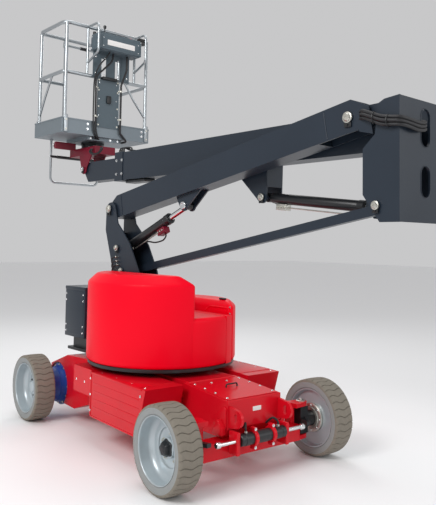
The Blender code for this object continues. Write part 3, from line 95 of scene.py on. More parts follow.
MOTOR_INNER = 0.3303
HOOD_RADIUS, HOOD_BOTTOM, HOOD_TOP = 0.61, 0.6255, 1.315
NEAR_HOOD_EDGE, FAR_HOOD_EDGE = 0.125, 0.305
FLOOR_TOP = 2.671
CONSOLE_LOW, CONSOLE_HIGH = (-1.42, 0.08, 3.51), (-1.24, 0.59, 3.68)
ENTRY_POSTS = (0.09, 0.53)


def from_chassis(points):
    """Chassis coordinates, shifted so that the machine stands centred."""
    return np.asarray(points, float) + CHASSIS_SHIFT


def from_turntable(points):
    """Turned about the slewing axis by the rest angle, then moved onto it."""
    points = np.asarray(points, float)
    c, s = cos(SLEW_TURN), sin(SLEW_TURN)
    turn = np.array([[c, -s, 0.0], [s, c, 0.0], [0.0, 0.0, 1.0]])
    return points @ turn.T + np.array([SLEW_AXIS[0], SLEW_AXIS[1], 0.0])


def from_boom(points):
    """Lower boom coordinates: the riser pin is the origin, +X runs along the boom, +Z across it."""
    points = np.asarray(points, float)
    c, s = cos(BOOM_LEAN), sin(BOOM_LEAN)
    x = RISER_PIN[0] + points[..., 0] * c - points[..., 2] * s
    z = RISER_PIN[1] + points[..., 0] * s + points[..., 2] * c
    return from_turntable(np.stack([x, points[..., 1], z], -1))


def from_between(start, end, middle):
    """Coordinates of a cylinder: +X from its foot to its eye, both in the turntable's XZ plane."""
    lean = atan2(end[1] - start[1], end[0] - start[0])

    def place(points):
        points = np.asarray(points, float)
        x = start[0] + points[..., 0] * cos(lean) - points[..., 2] * sin(lean)
        z = start[1] + points[..., 0] * sin(lean) + points[..., 2] * cos(lean)
        return from_turntable(np.stack([x, points[..., 1] + middle, z], -1))

    return place


# ---------------------------------------------------------------- finishes
def finish_of(name, colour, roughness, metallic=0.0, coat=0.0, vary=0.08, grain=9.0, bump=0.05,
              bump_scale=220.0, rough_vary=0.06, dust=0.0, shine=0.5):
    """A paint, metal or rubber: large soft colour patches, uneven gloss, fine relief and low dust."""
    made = bpy.data.materials.new(name)
    made.use_nodes = True
    tree = made.node_tree
    nodes, links = tree.nodes, tree.links
    shader = nodes["Principled BSDF"]
    shader.inputs["Metallic"].default_value = metallic
    shader.inputs["Coat Weight"].default_value = coat
    shader.inputs["Coat Roughness"].default_value = 0.08
    shader.inputs["Specular IOR Level"].default_value = shine
    where = nodes.new("ShaderNodeTexCoord")
    source = where.outputs["Object"]
    patches = nodes.new("ShaderNodeTexNoise")
    patches.inputs["Scale"].default_value = grain
    patches.inputs["Detail"].default_value = 5.0
    links.new(source, patches.inputs["Vector"])
    mix = nodes.new("ShaderNodeMix")
    mix.data_type = "RGBA"
    mix.inputs["A"].default_value = (*[max(0.0, c * (1 - vary)) for c in colour], 1.0)
    mix.inputs["B"].default_value = (*[min(1.0, c * (1 + vary)) for c in colour], 1.0)
    links.new(patches.outputs["Fac"], mix.inputs["Factor"])
    last = mix.outputs["Result"]
    if dust:
        split = nodes.new("ShaderNodeSeparateXYZ")
        links.new(where.outputs["Object"], split.inputs[0])
        low = nodes.new("ShaderNodeMapRange")
        low.inputs["From Min"].default_value = 0.75
        low.inputs["From Max"].default_value = 0.05
        low.inputs["To Max"].default_value = dust
        links.new(split.outputs["Z"], low.inputs["Value"])
        spots = nodes.new("ShaderNodeTexNoise")
        spots.inputs["Scale"].default_value = 26.0
        spots.inputs["Detail"].default_value = 8.0
        links.new(where.outputs["Object"], spots.inputs["Vector"])
        amount = nodes.new("ShaderNodeMath")
        amount.operation = "MULTIPLY"
        links.new(low.outputs["Result"], amount.inputs[0])
        links.new(spots.outputs["Fac"], amount.inputs[1])
        dusty = nodes.new("ShaderNodeMix")
        dusty.data_type = "RGBA"
        dusty.inputs["B"].default_value = (0.36, 0.31, 0.26, 1.0)
        links.new(amount.outputs[0], dusty.inputs["Factor"])
        links.new(last, dusty.inputs["A"])
        last = dusty.outputs["Result"]
    links.new(last, shader.inputs["Base Color"])
    gloss = nodes.new("ShaderNodeMapRange")
    gloss.inputs["To Min"].default_value = max(0.02, roughness - rough_vary)
    gloss.inputs["To Max"].default_value = min(1.0, roughness + rough_vary)
    links.new(patches.outputs["Fac"], gloss.inputs["Value"])
    links.new(gloss.outputs["Result"], shader.inputs["Roughness"])
    fine = nodes.new("ShaderNodeTexNoise")
    fine.inputs["Scale"].default_value = bump_scale
    fine.inputs["Detail"].default_value = 3.0
    links.new(source, fine.inputs["Vector"])
    relief = nodes.new("ShaderNodeBump")
    relief.inputs["Strength"].default_value = bump
    relief.inputs["Distance"].default_value = 0.002
    links.new(fine.outputs["Fac"], relief.inputs["Height"])
    links.new(relief.outputs["Normal"], shader.inputs["Normal"])
    return made


HOOD_RED = finish_of(
    "hood_red", (0.88, 0.0012, 0.017), 0.40, coat=0.02, vary=0.03, grain=2.5, bump=0.03, shine=0.09
)
CHASSIS_RED = finish_of(
    "chassis_red", (0.64, 0.0015, 0.012), 0.24, coat=0.03, vary=0.09, grain=5.0, bump=0.05, dust=0.04,
    shine=0.2
)
SLATE = finish_of(
    "boom_slate", (0.0155, 0.024, 0.037), 0.36, coat=0.05, vary=0.14, grain=3.0, bump=0.08, shine=0.35
)
BLACK_STEEL = finish_of("black_steel", (0.010, 0.011, 0.013), 0.36, vary=0.2, grain=12.0, bump=0.07)
CRIMSON = finish_of("crimson", (0.16, 0.002, 0.016), 0.40, shine=0.3, vary=0.12, grain=8.0, bump=0.06)
RAIL_STEEL = finish_of("rail_steel", (0.42, 0.45, 0.47), 0.30, metallic=0.9, vary=0.07, grain=30.0, bump=0.05)
FLOOR_GREY = finish_of(
    "floor_grey", (0.20, 0.235, 0.26), 0.42, metallic=0.5, vary=0.08, grain=16.0, bump=0.06
)
CONTROL_GREY = finish_of(
    "control_grey", (0.075, 0.105, 0.125), 0.45, vary=0.08, grain=14.0, bump=0.12, bump_scale=420.0
)
TREAD = finish_of(
    "tyre_tread", (0.200, 0.180, 0.148), 0.92, shine=0.25, vary=0.14, grain=42.0, bump=0.35,
    bump_scale=150.0, dust=0.35
)
SIDEWALL = finish_of(
    "tyre_sidewall", (0.27, 0.285, 0.285), 0.80, shine=0.3, vary=0.08, grain=20.0, bump=0.16,
    bump_scale=260.0, dust=0.2
)
RIM_SILVER = finish_of(
    "rim_silver", (0.47, 0.53, 0.56), 0.34, metallic=0.4, vary=0.06, grain=15.0, bump=0.05, dust=0.12
)
MOTOR_BLUE = finish_of("motor_blue", (0.004, 0.055, 0.32), 0.38, coat=0.05, vary=0.15, grain=10.0)
BRIGHT = finish_of("bright_steel", (0.72, 0.73, 0.74), 0.20, metallic=1.0, vary=0.06, grain=60.0, bump=0.03)
ZINC = finish_of("zinc_steel", (0.56, 0.55, 0.50), 0.34, metallic=0.9, vary=0.15, grain=60.0, bump=0.06)
HOSE = finish_of(
    "hose_black", (0.012, 0.012, 0.014), 0.55, vary=0.15, grain=40.0, bump=0.25, bump_scale=600.0
)
PLATE_WHITE = finish_of("plate_white", (0.78, 0.76, 0.74), 0.42, vary=0.04, grain=30.0)
STOP_RED = finish_of("stop_red", (0.70, 0.02, 0.015), 0.32, coat=0.2, vary=0.04, grain=30.0)


# ---------------------------------------------------------------- shapes as arrays
def skin(rings, loop=False, caps=True):
    """Rings of equal count joined side by side: point k of ring i meets point k of ring i + 1."""
    rings = np.asarray(rings, float)
    count, around = rings.shape[:2]
    rows = np.arange(count if loop else count - 1)
    columns = np.arange(around)
    i, k = np.meshgrid(rows, columns, indexing="ij")
    j = (i + 1) % count
    m = (k + 1) % around
    quads = np.stack([i * around + k, i * around + m, j * around + m, j * around + k], -1)
    ends = [] if loop or not caps else [columns[::-1], columns + (count - 1) * around]
    return rings.reshape(-1, 3), quads.reshape(-1, 4), ends


def together(*shapes):
    """Several shapes as one, their points counted on from each other."""
    points, quads, caps, start = [], [], [], 0
    for shape in shapes:
        points.append(shape[0])
        quads.append(shape[1] + start)
        caps += [np.asarray(cap) + start for cap in shape[2]]
        start += len(shape[0])
    return np.concatenate(points), np.concatenate(quads), caps


def basis(normal):
    """Three unit rows: two across the direction, and the direction itself."""
    along = np.asarray(normal, float)
    along = along / np.linalg.norm(along)
    side = np.cross(along, [0.0, 0.0, 1.0] if abs(along[2]) < 0.9 else [1.0, 0.0, 0.0])
    side /= np.linalg.norm(side)
    return np.stack([side, np.cross(along, side), along])


def repeated(shape, places, normal=(0, 0, 1)):
    """The same small shape at each place, its +Z turned to the normal."""
    places = np.asarray(places, float).reshape(-1, 3)
    points = (shape[0] @ basis(normal))[None] + places[:, None]
    step = len(shape[0])
    offset = np.arange(len(places)) * step
    quads = (shape[1][None] + offset[:, None, None]).reshape(-1, 4)
    caps = [np.asarray(cap) + start for start in offset for cap in shape[2]]
    return points.reshape(-1, 3), quads, caps


def spun(profile, centre=(0, 0, 0), axis=(0, 0, 1), around=48, lobes=0, swell=0.0, start=0.0):
    """Radius r at height h turned about the axis: centre + h axis + r (cos a, sin a).

    A profile that starts off the axis is a closed ring. Lobes swell r by 1 + swell cos(lobes a).
    """
    profile = np.asarray(profile, float)
    angle = np.linspace(0, 2 * pi, around, endpoint=False) + start
    radius = profile[:, 1:2] * (1 + swell * np.cos(lobes * angle)[None])
    side, other, along = basis(axis)
    rings = (
        np.asarray(centre, float)
        + profile[:, 0, None, None] * along
        + radius[..., None] * (np.cos(angle)[:, None] * side + np.sin(angle)[:, None] * other)
    )
    return skin(rings, loop=profile[0, 1] > 0, caps=False)


def curve_through(points, steps=8):
    """Catmull-Rom curve: each stretch is the cubic set by its two ends and their neighbours."""
    p = np.asarray(points, float)
    p = np.concatenate([2 * p[:1] - p[1:2], p, 2 * p[-1:] - p[-2:-1]])
    t = np.linspace(0, 1, steps, endpoint=False)[None, :, None]
    a, b, c, d = (p[i : len(p) - 3 + i, None] for i in range(4))
    path = 0.5 * (2 * b + (c - a) * t + (2 * a - 5 * b + 4 * c - d) * t**2 + (3 * b - a - 3 * c + d) * t**3)
    return np.concatenate([path.reshape(-1, 3), p[-2:-1]])


def bent(points, bend, steps=7):
    """Straight runs whose corners are arcs of the bend radius, tangent to both runs."""
    points = [np.asarray(p, float) for p in points]
    path = [points[0]]
    for before, corner, after in zip(points, points[1:], points[2:]):
        back = (before - corner) / np.linalg.norm(before - corner)
        on = (after - corner) / np.linalg.norm(after - corner)
        half = np.arccos(np.clip(back @ on, -1, 1)) / 2
        middle = (back + on) / np.linalg.norm(back + on)
        centre = corner + middle * bend / sin(half)
        sweep = pi / 2 - half
        across = (on - back) / np.linalg.norm(on - back)
        for angle in np.linspace(-sweep, sweep, steps):
            path.append(centre - middle * bend * cos(angle) + across * bend * sin(angle))
    path.append(points[-1])
    return np.array(path)


def tube(path, radius, around=14, loop=False, ripple=0.0, ripples=0):
    """A circle carried along the path, turned only as much as the path turns."""
    path = np.asarray(path, float)
    ahead = np.roll(path, -1, 0) - np.roll(path, 1, 0) if loop else np.gradient(path, axis=0)
    ahead /= np.linalg.norm(ahead, axis=1)[:, None]
    sides = [basis(ahead[0])[0]]
    for along in ahead[1:]:
        side = sides[-1] - along * (sides[-1] @ along)
        sides.append(side / np.linalg.norm(side))
    sides = np.array(sides)
    others = np.cross(ahead, sides)
    angle = np.linspace(0, 2 * pi, around, endpoint=False)
    circle = np.cos(angle)[None, :, None] * sides[:, None] + np.sin(angle)[None, :, None] * others[:, None]
    size = radius * (1 + ripple * np.cos(2 * pi * ripples * np.linspace(0, 1, len(path))))
    return skin(path[:, None] + circle * size[:, None, None], loop=loop)


def rod(start, end, radius, around=20, edge=0.0015):
    """A round bar with slightly rounded ends."""
    start, end = np.asarray(start, float), np.asarray(end, float)
    length = np.linalg.norm(end - start)
    edge = min(edge, radius * 0.5)
    profile = [
        (0, 0), (0, radius - edge), (edge, radius), (length - edge, radius), (length, radius - edge),
        (length, 0)
    ]
    return spun(profile, start, end - start, around)


def drawn_in(outline, amount):
    """Each corner of a closed outline moved inwards along its mitre."""
    ahead = np.roll(outline, -1, 0) - outline
    ahead /= np.linalg.norm(ahead, axis=1)[:, None] + 1e-12
    behind = np.roll(ahead, 1, 0)
    area = np.sum(outline[:, 0] * np.roll(outline[:, 1], -1) - outline[:, 1] * np.roll(outline[:, 0], -1))
    turn = np.sign(area)
    inward = turn * np.stack([-(ahead + behind)[:, 1], (ahead + behind)[:, 0]], -1)
    inward /= np.linalg.norm(inward, axis=1)[:, None] + 1e-12
    spread = np.clip(turn * (inward[:, 0] * -ahead[:, 1] + inward[:, 1] * ahead[:, 0]), 0.35, 1.0)
    return outline + inward * (amount / spread)[:, None]


def set_on(flat, height, axis):
    """Flat (u, v) points at a height along the named axis."""
    level = np.full(len(flat), height)
    order = {
        "X": (level, flat[:, 0], flat[:, 1]), "Y": (flat[:, 0], level, flat[:, 1]),
        "Z": (flat[:, 0], flat[:, 1], level)
    }
    return np.stack(order[axis], -1)


def slab(outline, low, high, axis="Z", edge=0.003, steps=3):
    """An outline pushed along an axis, both rims rolled over by a quarter circle of radius edge."""
    outline = np.asarray(outline, float)
    roll = np.linspace(0, pi / 2, steps + 1)
    rings = [set_on(drawn_in(outline, edge * (1 - sin(a))), low + edge * (1 - cos(a)), axis) for a in roll]
    rings += [set_on(drawn_in(outline, edge * (1 - cos(a))), high - edge * (1 - sin(a)), axis) for a in roll]
    return skin(rings)


def rounded_outline(points, radius, steps=4):
    """A closed outline whose corners are arcs."""
    points = [np.array([*p, 0.0]) for p in points]
    count = len(points)
    radii = radius if hasattr(radius, "__len__") else [radius] * count
    path = []
    for i in range(count):
        before, corner, after = points[i - 1], points[i], points[(i + 1) % count]
        if radii[i] <= 0:
            path.append(corner[:2])
            continue
        path += [p[:2] for p in bent([before, corner, after], radii[i], steps)[1:-1]]
    return np.array(path)


def block(low, high, corner=0.004, edge=0.003, axis="Z", steps=3):
    """A box with rounded upright corners and rolled rims."""
    keep = {"X": (1, 2, 0), "Y": (0, 2, 1), "Z": (0, 1, 2)}[axis]
    u, v, w = keep
    outline = rounded_outline(
        [(low[u], low[v]), (high[u], low[v]), (high[u], high[v]), (low[u], high[v])], corner, 4
    )
    return slab(outline, low[w], high[w], axis, edge, steps)


def circle_outline(centre, radius, count=28, start=0.0, end=2 * pi):
    """Points on an arc, the end left out when it closes."""
    full = abs(end - start - 2 * pi) < 1e-9
    angle = np.linspace(start, end, count, endpoint=not full)
    return np.stack([centre[0] + radius * np.cos(angle), centre[1] + radius * np.sin(angle)], -1)


def moved(shape, place):
    """A shape whose points are taken from their own coordinates to the world."""
    return place(shape[0]), shape[1], shape[2]


def hex_bolt(radius, height=None):
    """A washer under a six-sided head with a chamfered top."""
    height = radius * 0.75 if height is None else height
    washer = spun([(0, 0), (0, radius * 1.45), (height * 0.22, radius * 1.4), (height * 0.22, 0)], around=18)
    head = [(0, 0), (0, radius), (height * 0.8, radius), (height, radius * 0.82), (height, 0)]
    return together(washer, spun(head, (0, 0, height * 0.2), around=6))


def dome_screw(radius):
    """A low round head on a thin washer, with a socket's rim."""
    profile = [
        (0, 0), (0, radius * 1.25), (radius * 0.12, radius * 1.2), (radius * 0.14, radius),
        (radius * 0.45, radius * 0.8)
    ]
    profile += [(radius * 0.6, radius * 0.45), (radius * 0.42, radius * 0.4), (radius * 0.42, 0)]
    return spun(profile, around=14)


# ---------------------------------------------------------------- pieces
def piece(name, shape, body, paint, angle=32, second=None, which=None, stands_for=()):
    """Makes the mesh, turns its faces outwards, shades it and sets it on its body."""
    points = shape[0]
    faces = [tuple(q) for q in shape[1].tolist()] + [tuple(int(v) for v in cap) for cap in shape[2]]
    mesh = bpy.data.meshes.new(name)
    mesh.from_pydata(points, [], faces)
    mesh.materials.append(paint)
    if second is not None:
        mesh.materials.append(second)
        marks = np.concatenate([np.asarray(which, np.int32), np.zeros(len(shape[2]), np.int32)])
        mesh.polygons.foreach_set("material_index", marks)
    work = bmesh.new()
    work.from_mesh(mesh)
    bmesh.ops.remove_doubles(work, verts=work.verts, dist=1e-6)
    bmesh.ops.dissolve_degenerate(work, edges=work.edges, dist=1e-7)
    bmesh.ops.recalc_face_normals(work, faces=work.faces)
    work.to_mesh(mesh)
    work.free()
    mesh.shade_smooth()
    mesh.set_sharp_from_angle(angle=radians(angle))
    made = bpy.data.objects.new(name, mesh)
    bpy.context.scene.collection.objects.link(made)
    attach(made, body)
    if stands_for:
        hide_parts(*stands_for)
    return made


SLOT_OF = {name: name for name in (
    "hood_red", "chassis_red", "boom_slate", "black_steel", "crimson", "rail_steel", "floor_grey",
    "control_grey", "rim_silver", "motor_blue", "bright_steel", "hose_black",
)}
SLOT_OF.update(tyre_tread="tyre_rubber", tyre_sidewall="tyre_rubber", zinc_steel="bright_steel")
SLOT_OF.update(plate_white="rail_steel", stop_red="hood_red")


def edged(node, paint, width=0.003, segments=2, angle=40):
    """A copy of a node whose flat faces are whole again and whose edges are rolled over."""
    source = NODES[node]
    body = source["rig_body"]
    mesh = source.data.copy()
    mesh.name = node + "_finished"
    work = bmesh.new()
    work.from_mesh(mesh)
    bmesh.ops.remove_doubles(work, verts=work.verts, dist=2e-5)
    bmesh.ops.dissolve_limit(work, angle_limit=radians(1.0), verts=work.verts, edges=work.edges)
    work.to_mesh(mesh)
    work.free()
    mesh.materials.clear()
    mesh.materials.append(paint)
    mesh.shade_smooth()
    made = bpy.data.objects.new(node + "_finished", mesh)
    bpy.context.scene.collection.objects.link(made)
    change = made.modifiers.new("rolled_edges", "BEVEL")
    change.width = width
    change.segments = segments
    change.limit_method = "ANGLE"
    change.angle_limit = radians(angle)
    level = made.modifiers.new("flat_faces", "WEIGHTED_NORMAL")
    level.mode = "FACE_AREA"
    level.weight = 90
    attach(made, body)
    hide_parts(node)
    return made


# ---------------------------------------------------------------- wheels
LUGS = 34
GROOVE = 0.0055


def tyre_shape(centre, radius, half):
    """Section carried round the axle; grooves are columns sheared by 1.5 sine waves across the tread.

    r = section radius - groove depth, where the depth is set by the column and fades over the shoulder.
    """
    pitch = 2 * pi / LUGS
    offsets = np.array([0.0, 0.0022, 0.0052, 0.0074, 0.0095, 0.019, 0.0285, 0.038]) / radius
    depth = np.array([0.0, 1.0, 1.0, 0.0, 0.0, 0.0, 0.0, 0.0])
    angle = (np.arange(LUGS)[:, None] * pitch + offsets[None]).ravel()
    sunk = np.tile(depth, LUGS)
    across = np.linspace(-half + 0.013, half - 0.013, 25)
    crown = radius - 0.004 * (across / half) ** 2
    wall = [
        (half - 0.007, radius - 0.0065, 1.0), (half - 0.003, radius - 0.012, 0.8),
        (half, radius - 0.022, 0.0)
    ]
    wall += [
        (half, radius - 0.030, 0), (half - 0.0015, radius - 0.032, 0),
        (half - 0.0015, radius - 0.045, 0)
    ]
    wall += [(half - 0.004, radius - 0.060, 0), (half - 0.012, 0.212, 0)]
    right = [(y, r, f) for y, r, f in wall]
    left = [(-y, r, f) for y, r, f in reversed(wall)]
    section = np.array(left + [(y, r, 1.0) for y, r in zip(across, crown)] + right)
    wave = 0.0075 * np.sin(3 * pi * (section[:, 0] / (2 * (half - 0.007)) + 0.5))
    wave[np.abs(section[:, 0]) > half - 0.007] = 0.0
    a = angle[None] + (wave / radius)[:, None]
    r = section[:, 1:2] - GROOVE * section[:, 2:3] * sunk[None]
    rings = np.stack([r * np.cos(a), np.broadcast_to(section[:, :1], a.shape), r * np.sin(a)], -1)
    points, quads, caps = skin(rings + np.asarray(centre, float), loop=True)
    ring = np.repeat(np.arange(len(section)), len(angle))
    tread = (ring >= len(left) - 3) & (ring < len(section) - len(right) + 2)
    return (points, quads, caps), (~tread).astype(np.int32)


def rim_shape(side, steered):
    """Drop-well rim: rolled lip, deep barrel, a step ring and a dished disc round the hub."""
    lip = [
        (0.081, 0.2050), (0.0835, 0.2075), (0.083, 0.2110), (0.079, 0.2117), (0.0, 0.2117),
        (-0.081, 0.2117)
    ]
    back = [(-0.081, 0.2035), (-0.056, 0.2015), (-0.046, 0.195), (-0.046, 0.0335)]
    hub = 0.030 if steered else 0.012
    face = [
        (-0.034 + hub, 0.0335), (-0.034 + hub, 0.058), (-0.036 + hub, 0.062), (-0.032, 0.066),
        (-0.034, 0.072)
    ]
    face += [
        (-0.034, 0.118), (-0.031, 0.124), (-0.020, 0.128), (-0.018, 0.133), (-0.021, 0.165),
        (-0.018, 0.175)
    ]
    face += [(-0.006, 0.190), (0.004, 0.1985), (0.018, 0.2022), (0.068, 0.2034), (0.076, 0.2036)]
    section = [(side * h, r) for h, r in lip + back + face]
    return spun(section, axis=(0, 1, 0), around=96)


def build_wheel(corner, side, steered):
    """A tyre and its rim at one corner: nuts and a lobed cap where it steers, a plain cap where it drives."""
    low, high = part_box(corner + "_tyre")
    centre = np.array((low + high) / 2)
    half = (high[1] - low[1]) / 2
    radius = (high[2] - low[2]) / 2
    body = corner + "_wheel"
    shape, walls = tyre_shape(centre, radius, half)
    piece(
        corner + "_treaded_tyre", shape, body, TREAD, second=SIDEWALL, which=walls, angle=28,
        stands_for=(corner + "_tyre",)
    )
    rim = rim_shape(side, steered)
    outward = np.array([0.0, float(side), 0.0])
    piece(
        corner + "_dished_rim", (rim[0] + centre, rim[1], rim[2]), body, RIM_SILVER, angle=30,
        stands_for=(corner + "_rim",)
    )
    count = 5 if steered else 8
    ring = 0.088 if steered else 0.094
    turn = np.linspace(0, 2 * pi, count, endpoint=False) + 0.3
    studs = centre + np.stack([ring * np.cos(turn), np.full(count, side * -0.034), ring * np.sin(turn)], -1)
    nut = together(
        hex_bolt(0.0105, 0.013),
        spun([(0.012, 0), (0.012, 0.0055), (0.020, 0.005), (0.020, 0)], around=12)
    )
    piece(corner + "_wheel_nuts", repeated(nut, studs, outward), body, ZINC if steered else BLACK_STEEL)
    if steered:
        cap = [(-0.006, 0), (-0.006, 0.054), (0.0, 0.054), (0.006, 0.047), (0.012, 0.046), (0.026, 0.040)]
        cap += [(0.034, 0.034), (0.036, 0.026), (0.038, 0.024), (0.041, 0.012), (0.041, 0)]
        hub = spun(cap, centre, outward, 60, lobes=5, swell=0.09)
        piece(corner + "_hub_cap", hub, body, BLACK_STEEL)
        drum = [
            (-0.047, 0.0575), (-0.047, 0.100), (-0.050, 0.104), (-0.066, 0.104), (-0.069, 0.100),
            (-0.072, 0.080)
        ]
        drum += [(-0.080, 0.076), (-0.080, 0.0575)]
        piece(corner + "_brake_drum", spun(drum, centre, outward, 72), body, ZINC)
        turn = np.linspace(0, 2 * pi, 8, endpoint=False)
        heads = centre + np.stack(
            [0.090 * np.cos(turn), np.full(8, side * -0.0695), 0.090 * np.sin(turn)], -1
        )
        piece(corner + "_drum_bolts", repeated(hex_bolt(0.006, 0.006), heads, -outward), body, BRIGHT)
    else:
        cap = [
            (-0.030, 0), (-0.030, 0.058), (-0.016, 0.058), (-0.012, 0.052), (0.012, 0.049),
            (0.020, 0.040), (0.021, 0)
        ]
        piece(corner + "_hub_cap", spun(cap, centre, outward, 60), body, RIM_SILVER)


for corner, side, steered in (
    ("rear_right", -1, False), ("rear_left", 1, False), ("front_right", -1, True), ("front_left", 1, True),
):
    build_wheel(corner, side, steered)


# ---------------------------------------------------------------- chassis
for node in ("chassis_frame", "side_box_right", "side_box_left", "rear_drive_box", "front_axle_beam"):
    edged(node, CHASSIS_RED, 0.004)
for node in ("nose_cover", "tie_down_right", "tie_down_left"):
    edged(node, CHASSIS_RED, 0.0025)
for node in ("knuckle_right", "knuckle_left"):
    edged(node, BLACK_STEEL, 0.003)


def build_nose_trim():
    """Screws down both sides of the sloping cover, its pull, a blank plate and the lug gussets."""
    rise = 0.036 / 0.52
    stations = np.array([0.70, 0.82, 0.94, 1.07])
    top = 0.52 + (1.12 - stations) * rise + 0.0056
    places = [(x, y, z) for x, z in zip(stations, top) for y in (-0.205, 0.205)]
    places += [(0.72, y, 0.52 + 0.40 * rise + 0.0056) for y in (-0.07, 0.07)]
    piece("nose_cover_screws", repeated(dome_screw(0.0085), from_chassis(places)), "chassis", BRIGHT)
    height = 0.52 + 0.25 * rise + 0.006
    pull = bent(
        [
            (0.865, -0.05, height - 0.004), (0.865, -0.05, height + 0.022),
            (0.865, 0.05, height + 0.022), (0.865, 0.05, height - 0.004)
        ],
        0.012
    )
    piece("nose_cover_pull", tube(from_chassis(pull), 0.0055), "chassis", BLACK_STEEL)
    plate = block((1.1203, -0.02, 0.428), (1.1225, 0.055, 0.458), 0.004, 0.0008, "X")
    piece("nose_blank_plate", moved(plate, from_chassis), "chassis", PLATE_WHITE)
    gussets = []
    for side in (-1, 1):
        outline = [(0.98, 0.345), (1.117, 0.345), (1.117, 0.47), (1.09, 0.485), (0.98, 0.40)]
        inner, outer = sorted((side * 0.2405, side * 0.2505))
        gussets.append(slab(rounded_outline(outline, 0.012), inner, outer, "Y", 0.002))
        wedge = [(1.00, 0.30), (1.115, 0.30), (1.115, 0.345), (1.06, 0.40)]
        inner, outer = sorted((side * 0.2506, side * 0.285))
        gussets.append(slab(rounded_outline(wedge, 0.006), inner, outer, "Y", 0.003))
    piece("lug_gussets", moved(together(*gussets), from_chassis), "chassis", CHASSIS_RED)


def build_box_trim():
    """Folded rims, ribs, screws, a hasp and a lid on both battery boxes."""
    for side, name in ((-1, "right"), (1, "left")):
        face = side * SIDE_FACE
        parts = []
        low, high = sorted((side * (SIDE_FACE - 0.0015), side * (SIDE_FACE + 0.0045)))
        for z0, z1 in ((0.546, 0.560), (0.221, 0.233)):
            parts.append(block((-0.095, low, z0), (0.652, high, z1), 0.003, 0.002, "Y"))
        for z in (0.30, 0.36, 0.42, 0.48):
            low_rib, high_rib = sorted((side * (SIDE_FACE - 0.001), side * (SIDE_FACE + 0.0022)))
            parts.append(block((-0.05, low_rib, z - 0.006), (0.62, high_rib, z + 0.006), 0.005, 0.0018, "Y"))
        parts.append(block((-0.099, low, 0.221), (-0.084, high, 0.560), 0.003, 0.002, "Y"))
        piece(f"side_box_{name}_ribs", moved(together(*parts), from_chassis), "chassis", CHASSIS_RED)
        outward = (0, side, 0)
        screws = [(x, face + side * 0.004, z) for x in (-0.091, 0.64) for z in (0.27, 0.39, 0.51)]
        screws += [(x, face, 0.465) for x in (-0.34, -0.20)]
        piece(
            f"side_box_{name}_screws", repeated(dome_screw(0.0075), from_chassis(screws), outward),
            "chassis", BRIGHT
        )
        tops = [(x, side * 0.585, 0.5602) for x in (0.02, 0.24, 0.46, 0.64)]
        piece(
            f"side_box_{name}_top_screws", repeated(dome_screw(0.0075), from_chassis(tops)), "chassis",
            BRIGHT
        )
        hasp = together(
            block((0.656, side * 0.45 - 0.03, 0.36), (0.662, side * 0.45 + 0.03, 0.44), 0.006, 0.0015, "X"),
            rod((0.668, side * 0.45 - 0.022, 0.40), (0.668, side * 0.45 + 0.022, 0.40), 0.006),
        )
        piece(f"side_box_{name}_hasp", moved(hasp, from_chassis), "chassis", BLACK_STEEL)
        low, high = sorted((side * 0.305, side * (SIDE_FACE - 0.0005)))
        lid = block((-0.06, low, 0.5602), (0.60, high, 0.5632), 0.012, 0.0015)
        piece(f"side_box_{name}_lid", moved(lid, from_chassis), "chassis", CHASSIS_RED)


def build_drive_trim():
    """Blue hub drives with bolted cases, a lifting loop and plates on the drive box."""
    for side, name in ((-1, "right"), (1, "left")):
        profile = [
            (0, 0), (0, 0.180), (0.004, 0.1845), (0.098, 0.1845), (0.106, 0.178), (0.108, 0.160),
            (0.128, 0.154)
        ]
        profile += [
            (0.150, 0.152), (0.156, 0.146), (0.172, 0.143), (0.255, 0.136), (0.262, 0.132),
            (0.268, 0.118)
        ]
        profile += [(0.3005, 0.078), (0.3005, 0.032), (0.36, 0.031), (0.36, 0)]
        centre = from_chassis([(-AXLE_X, side * MOTOR_INNER, AXLE_Z)])[0]
        piece(
            f"drive_motor_{name}_case", spun(profile, centre, (0, side, 0), 72), "chassis", MOTOR_BLUE,
            stands_for=(f"drive_motor_{name}",)
        )
        turn = np.linspace(0, 2 * pi, 12, endpoint=False)
        heads = centre + np.stack(
            [0.169 * np.cos(turn), np.full(12, side * 0.1065), 0.169 * np.sin(turn)], -1
        )
        piece(f"drive_motor_{name}_bolts", repeated(hex_bolt(0.007), heads, (0, side, 0)), "chassis", ZINC)
    loop = bent(
        [(-0.78, -0.03, 0.556), (-0.78, -0.03, 0.592), (-0.70, -0.03, 0.592), (-0.70, -0.03, 0.560)],
        0.015
    )
    piece("drive_box_loop", tube(from_chassis(loop), 0.007), "chassis", BLACK_STEEL)
    heads = [(x, y, 0.5785 + (x + 0.46) * 0.0476) for x in (-0.50, -0.84) for y in (-0.40, -0.15, 0.15, 0.40)]
    piece("drive_box_screws", repeated(dome_screw(0.008), from_chassis(heads)), "chassis", BRIGHT)
    hatch = block((-1.2125, -0.30, 0.335), (-1.2101, 0.30, 0.425), 0.012, 0.001, "X")
    piece("drive_box_hatch", moved(hatch, from_chassis), "chassis", CHASSIS_RED)
    heads = [(-1.2125, y, z) for y in (-0.285, 0.285) for z in (0.35, 0.41)]
    piece(
        "drive_box_hatch_screws", repeated(dome_screw(0.007), from_chassis(heads), (-1, 0, 0)),
        "chassis", BRIGHT
    )


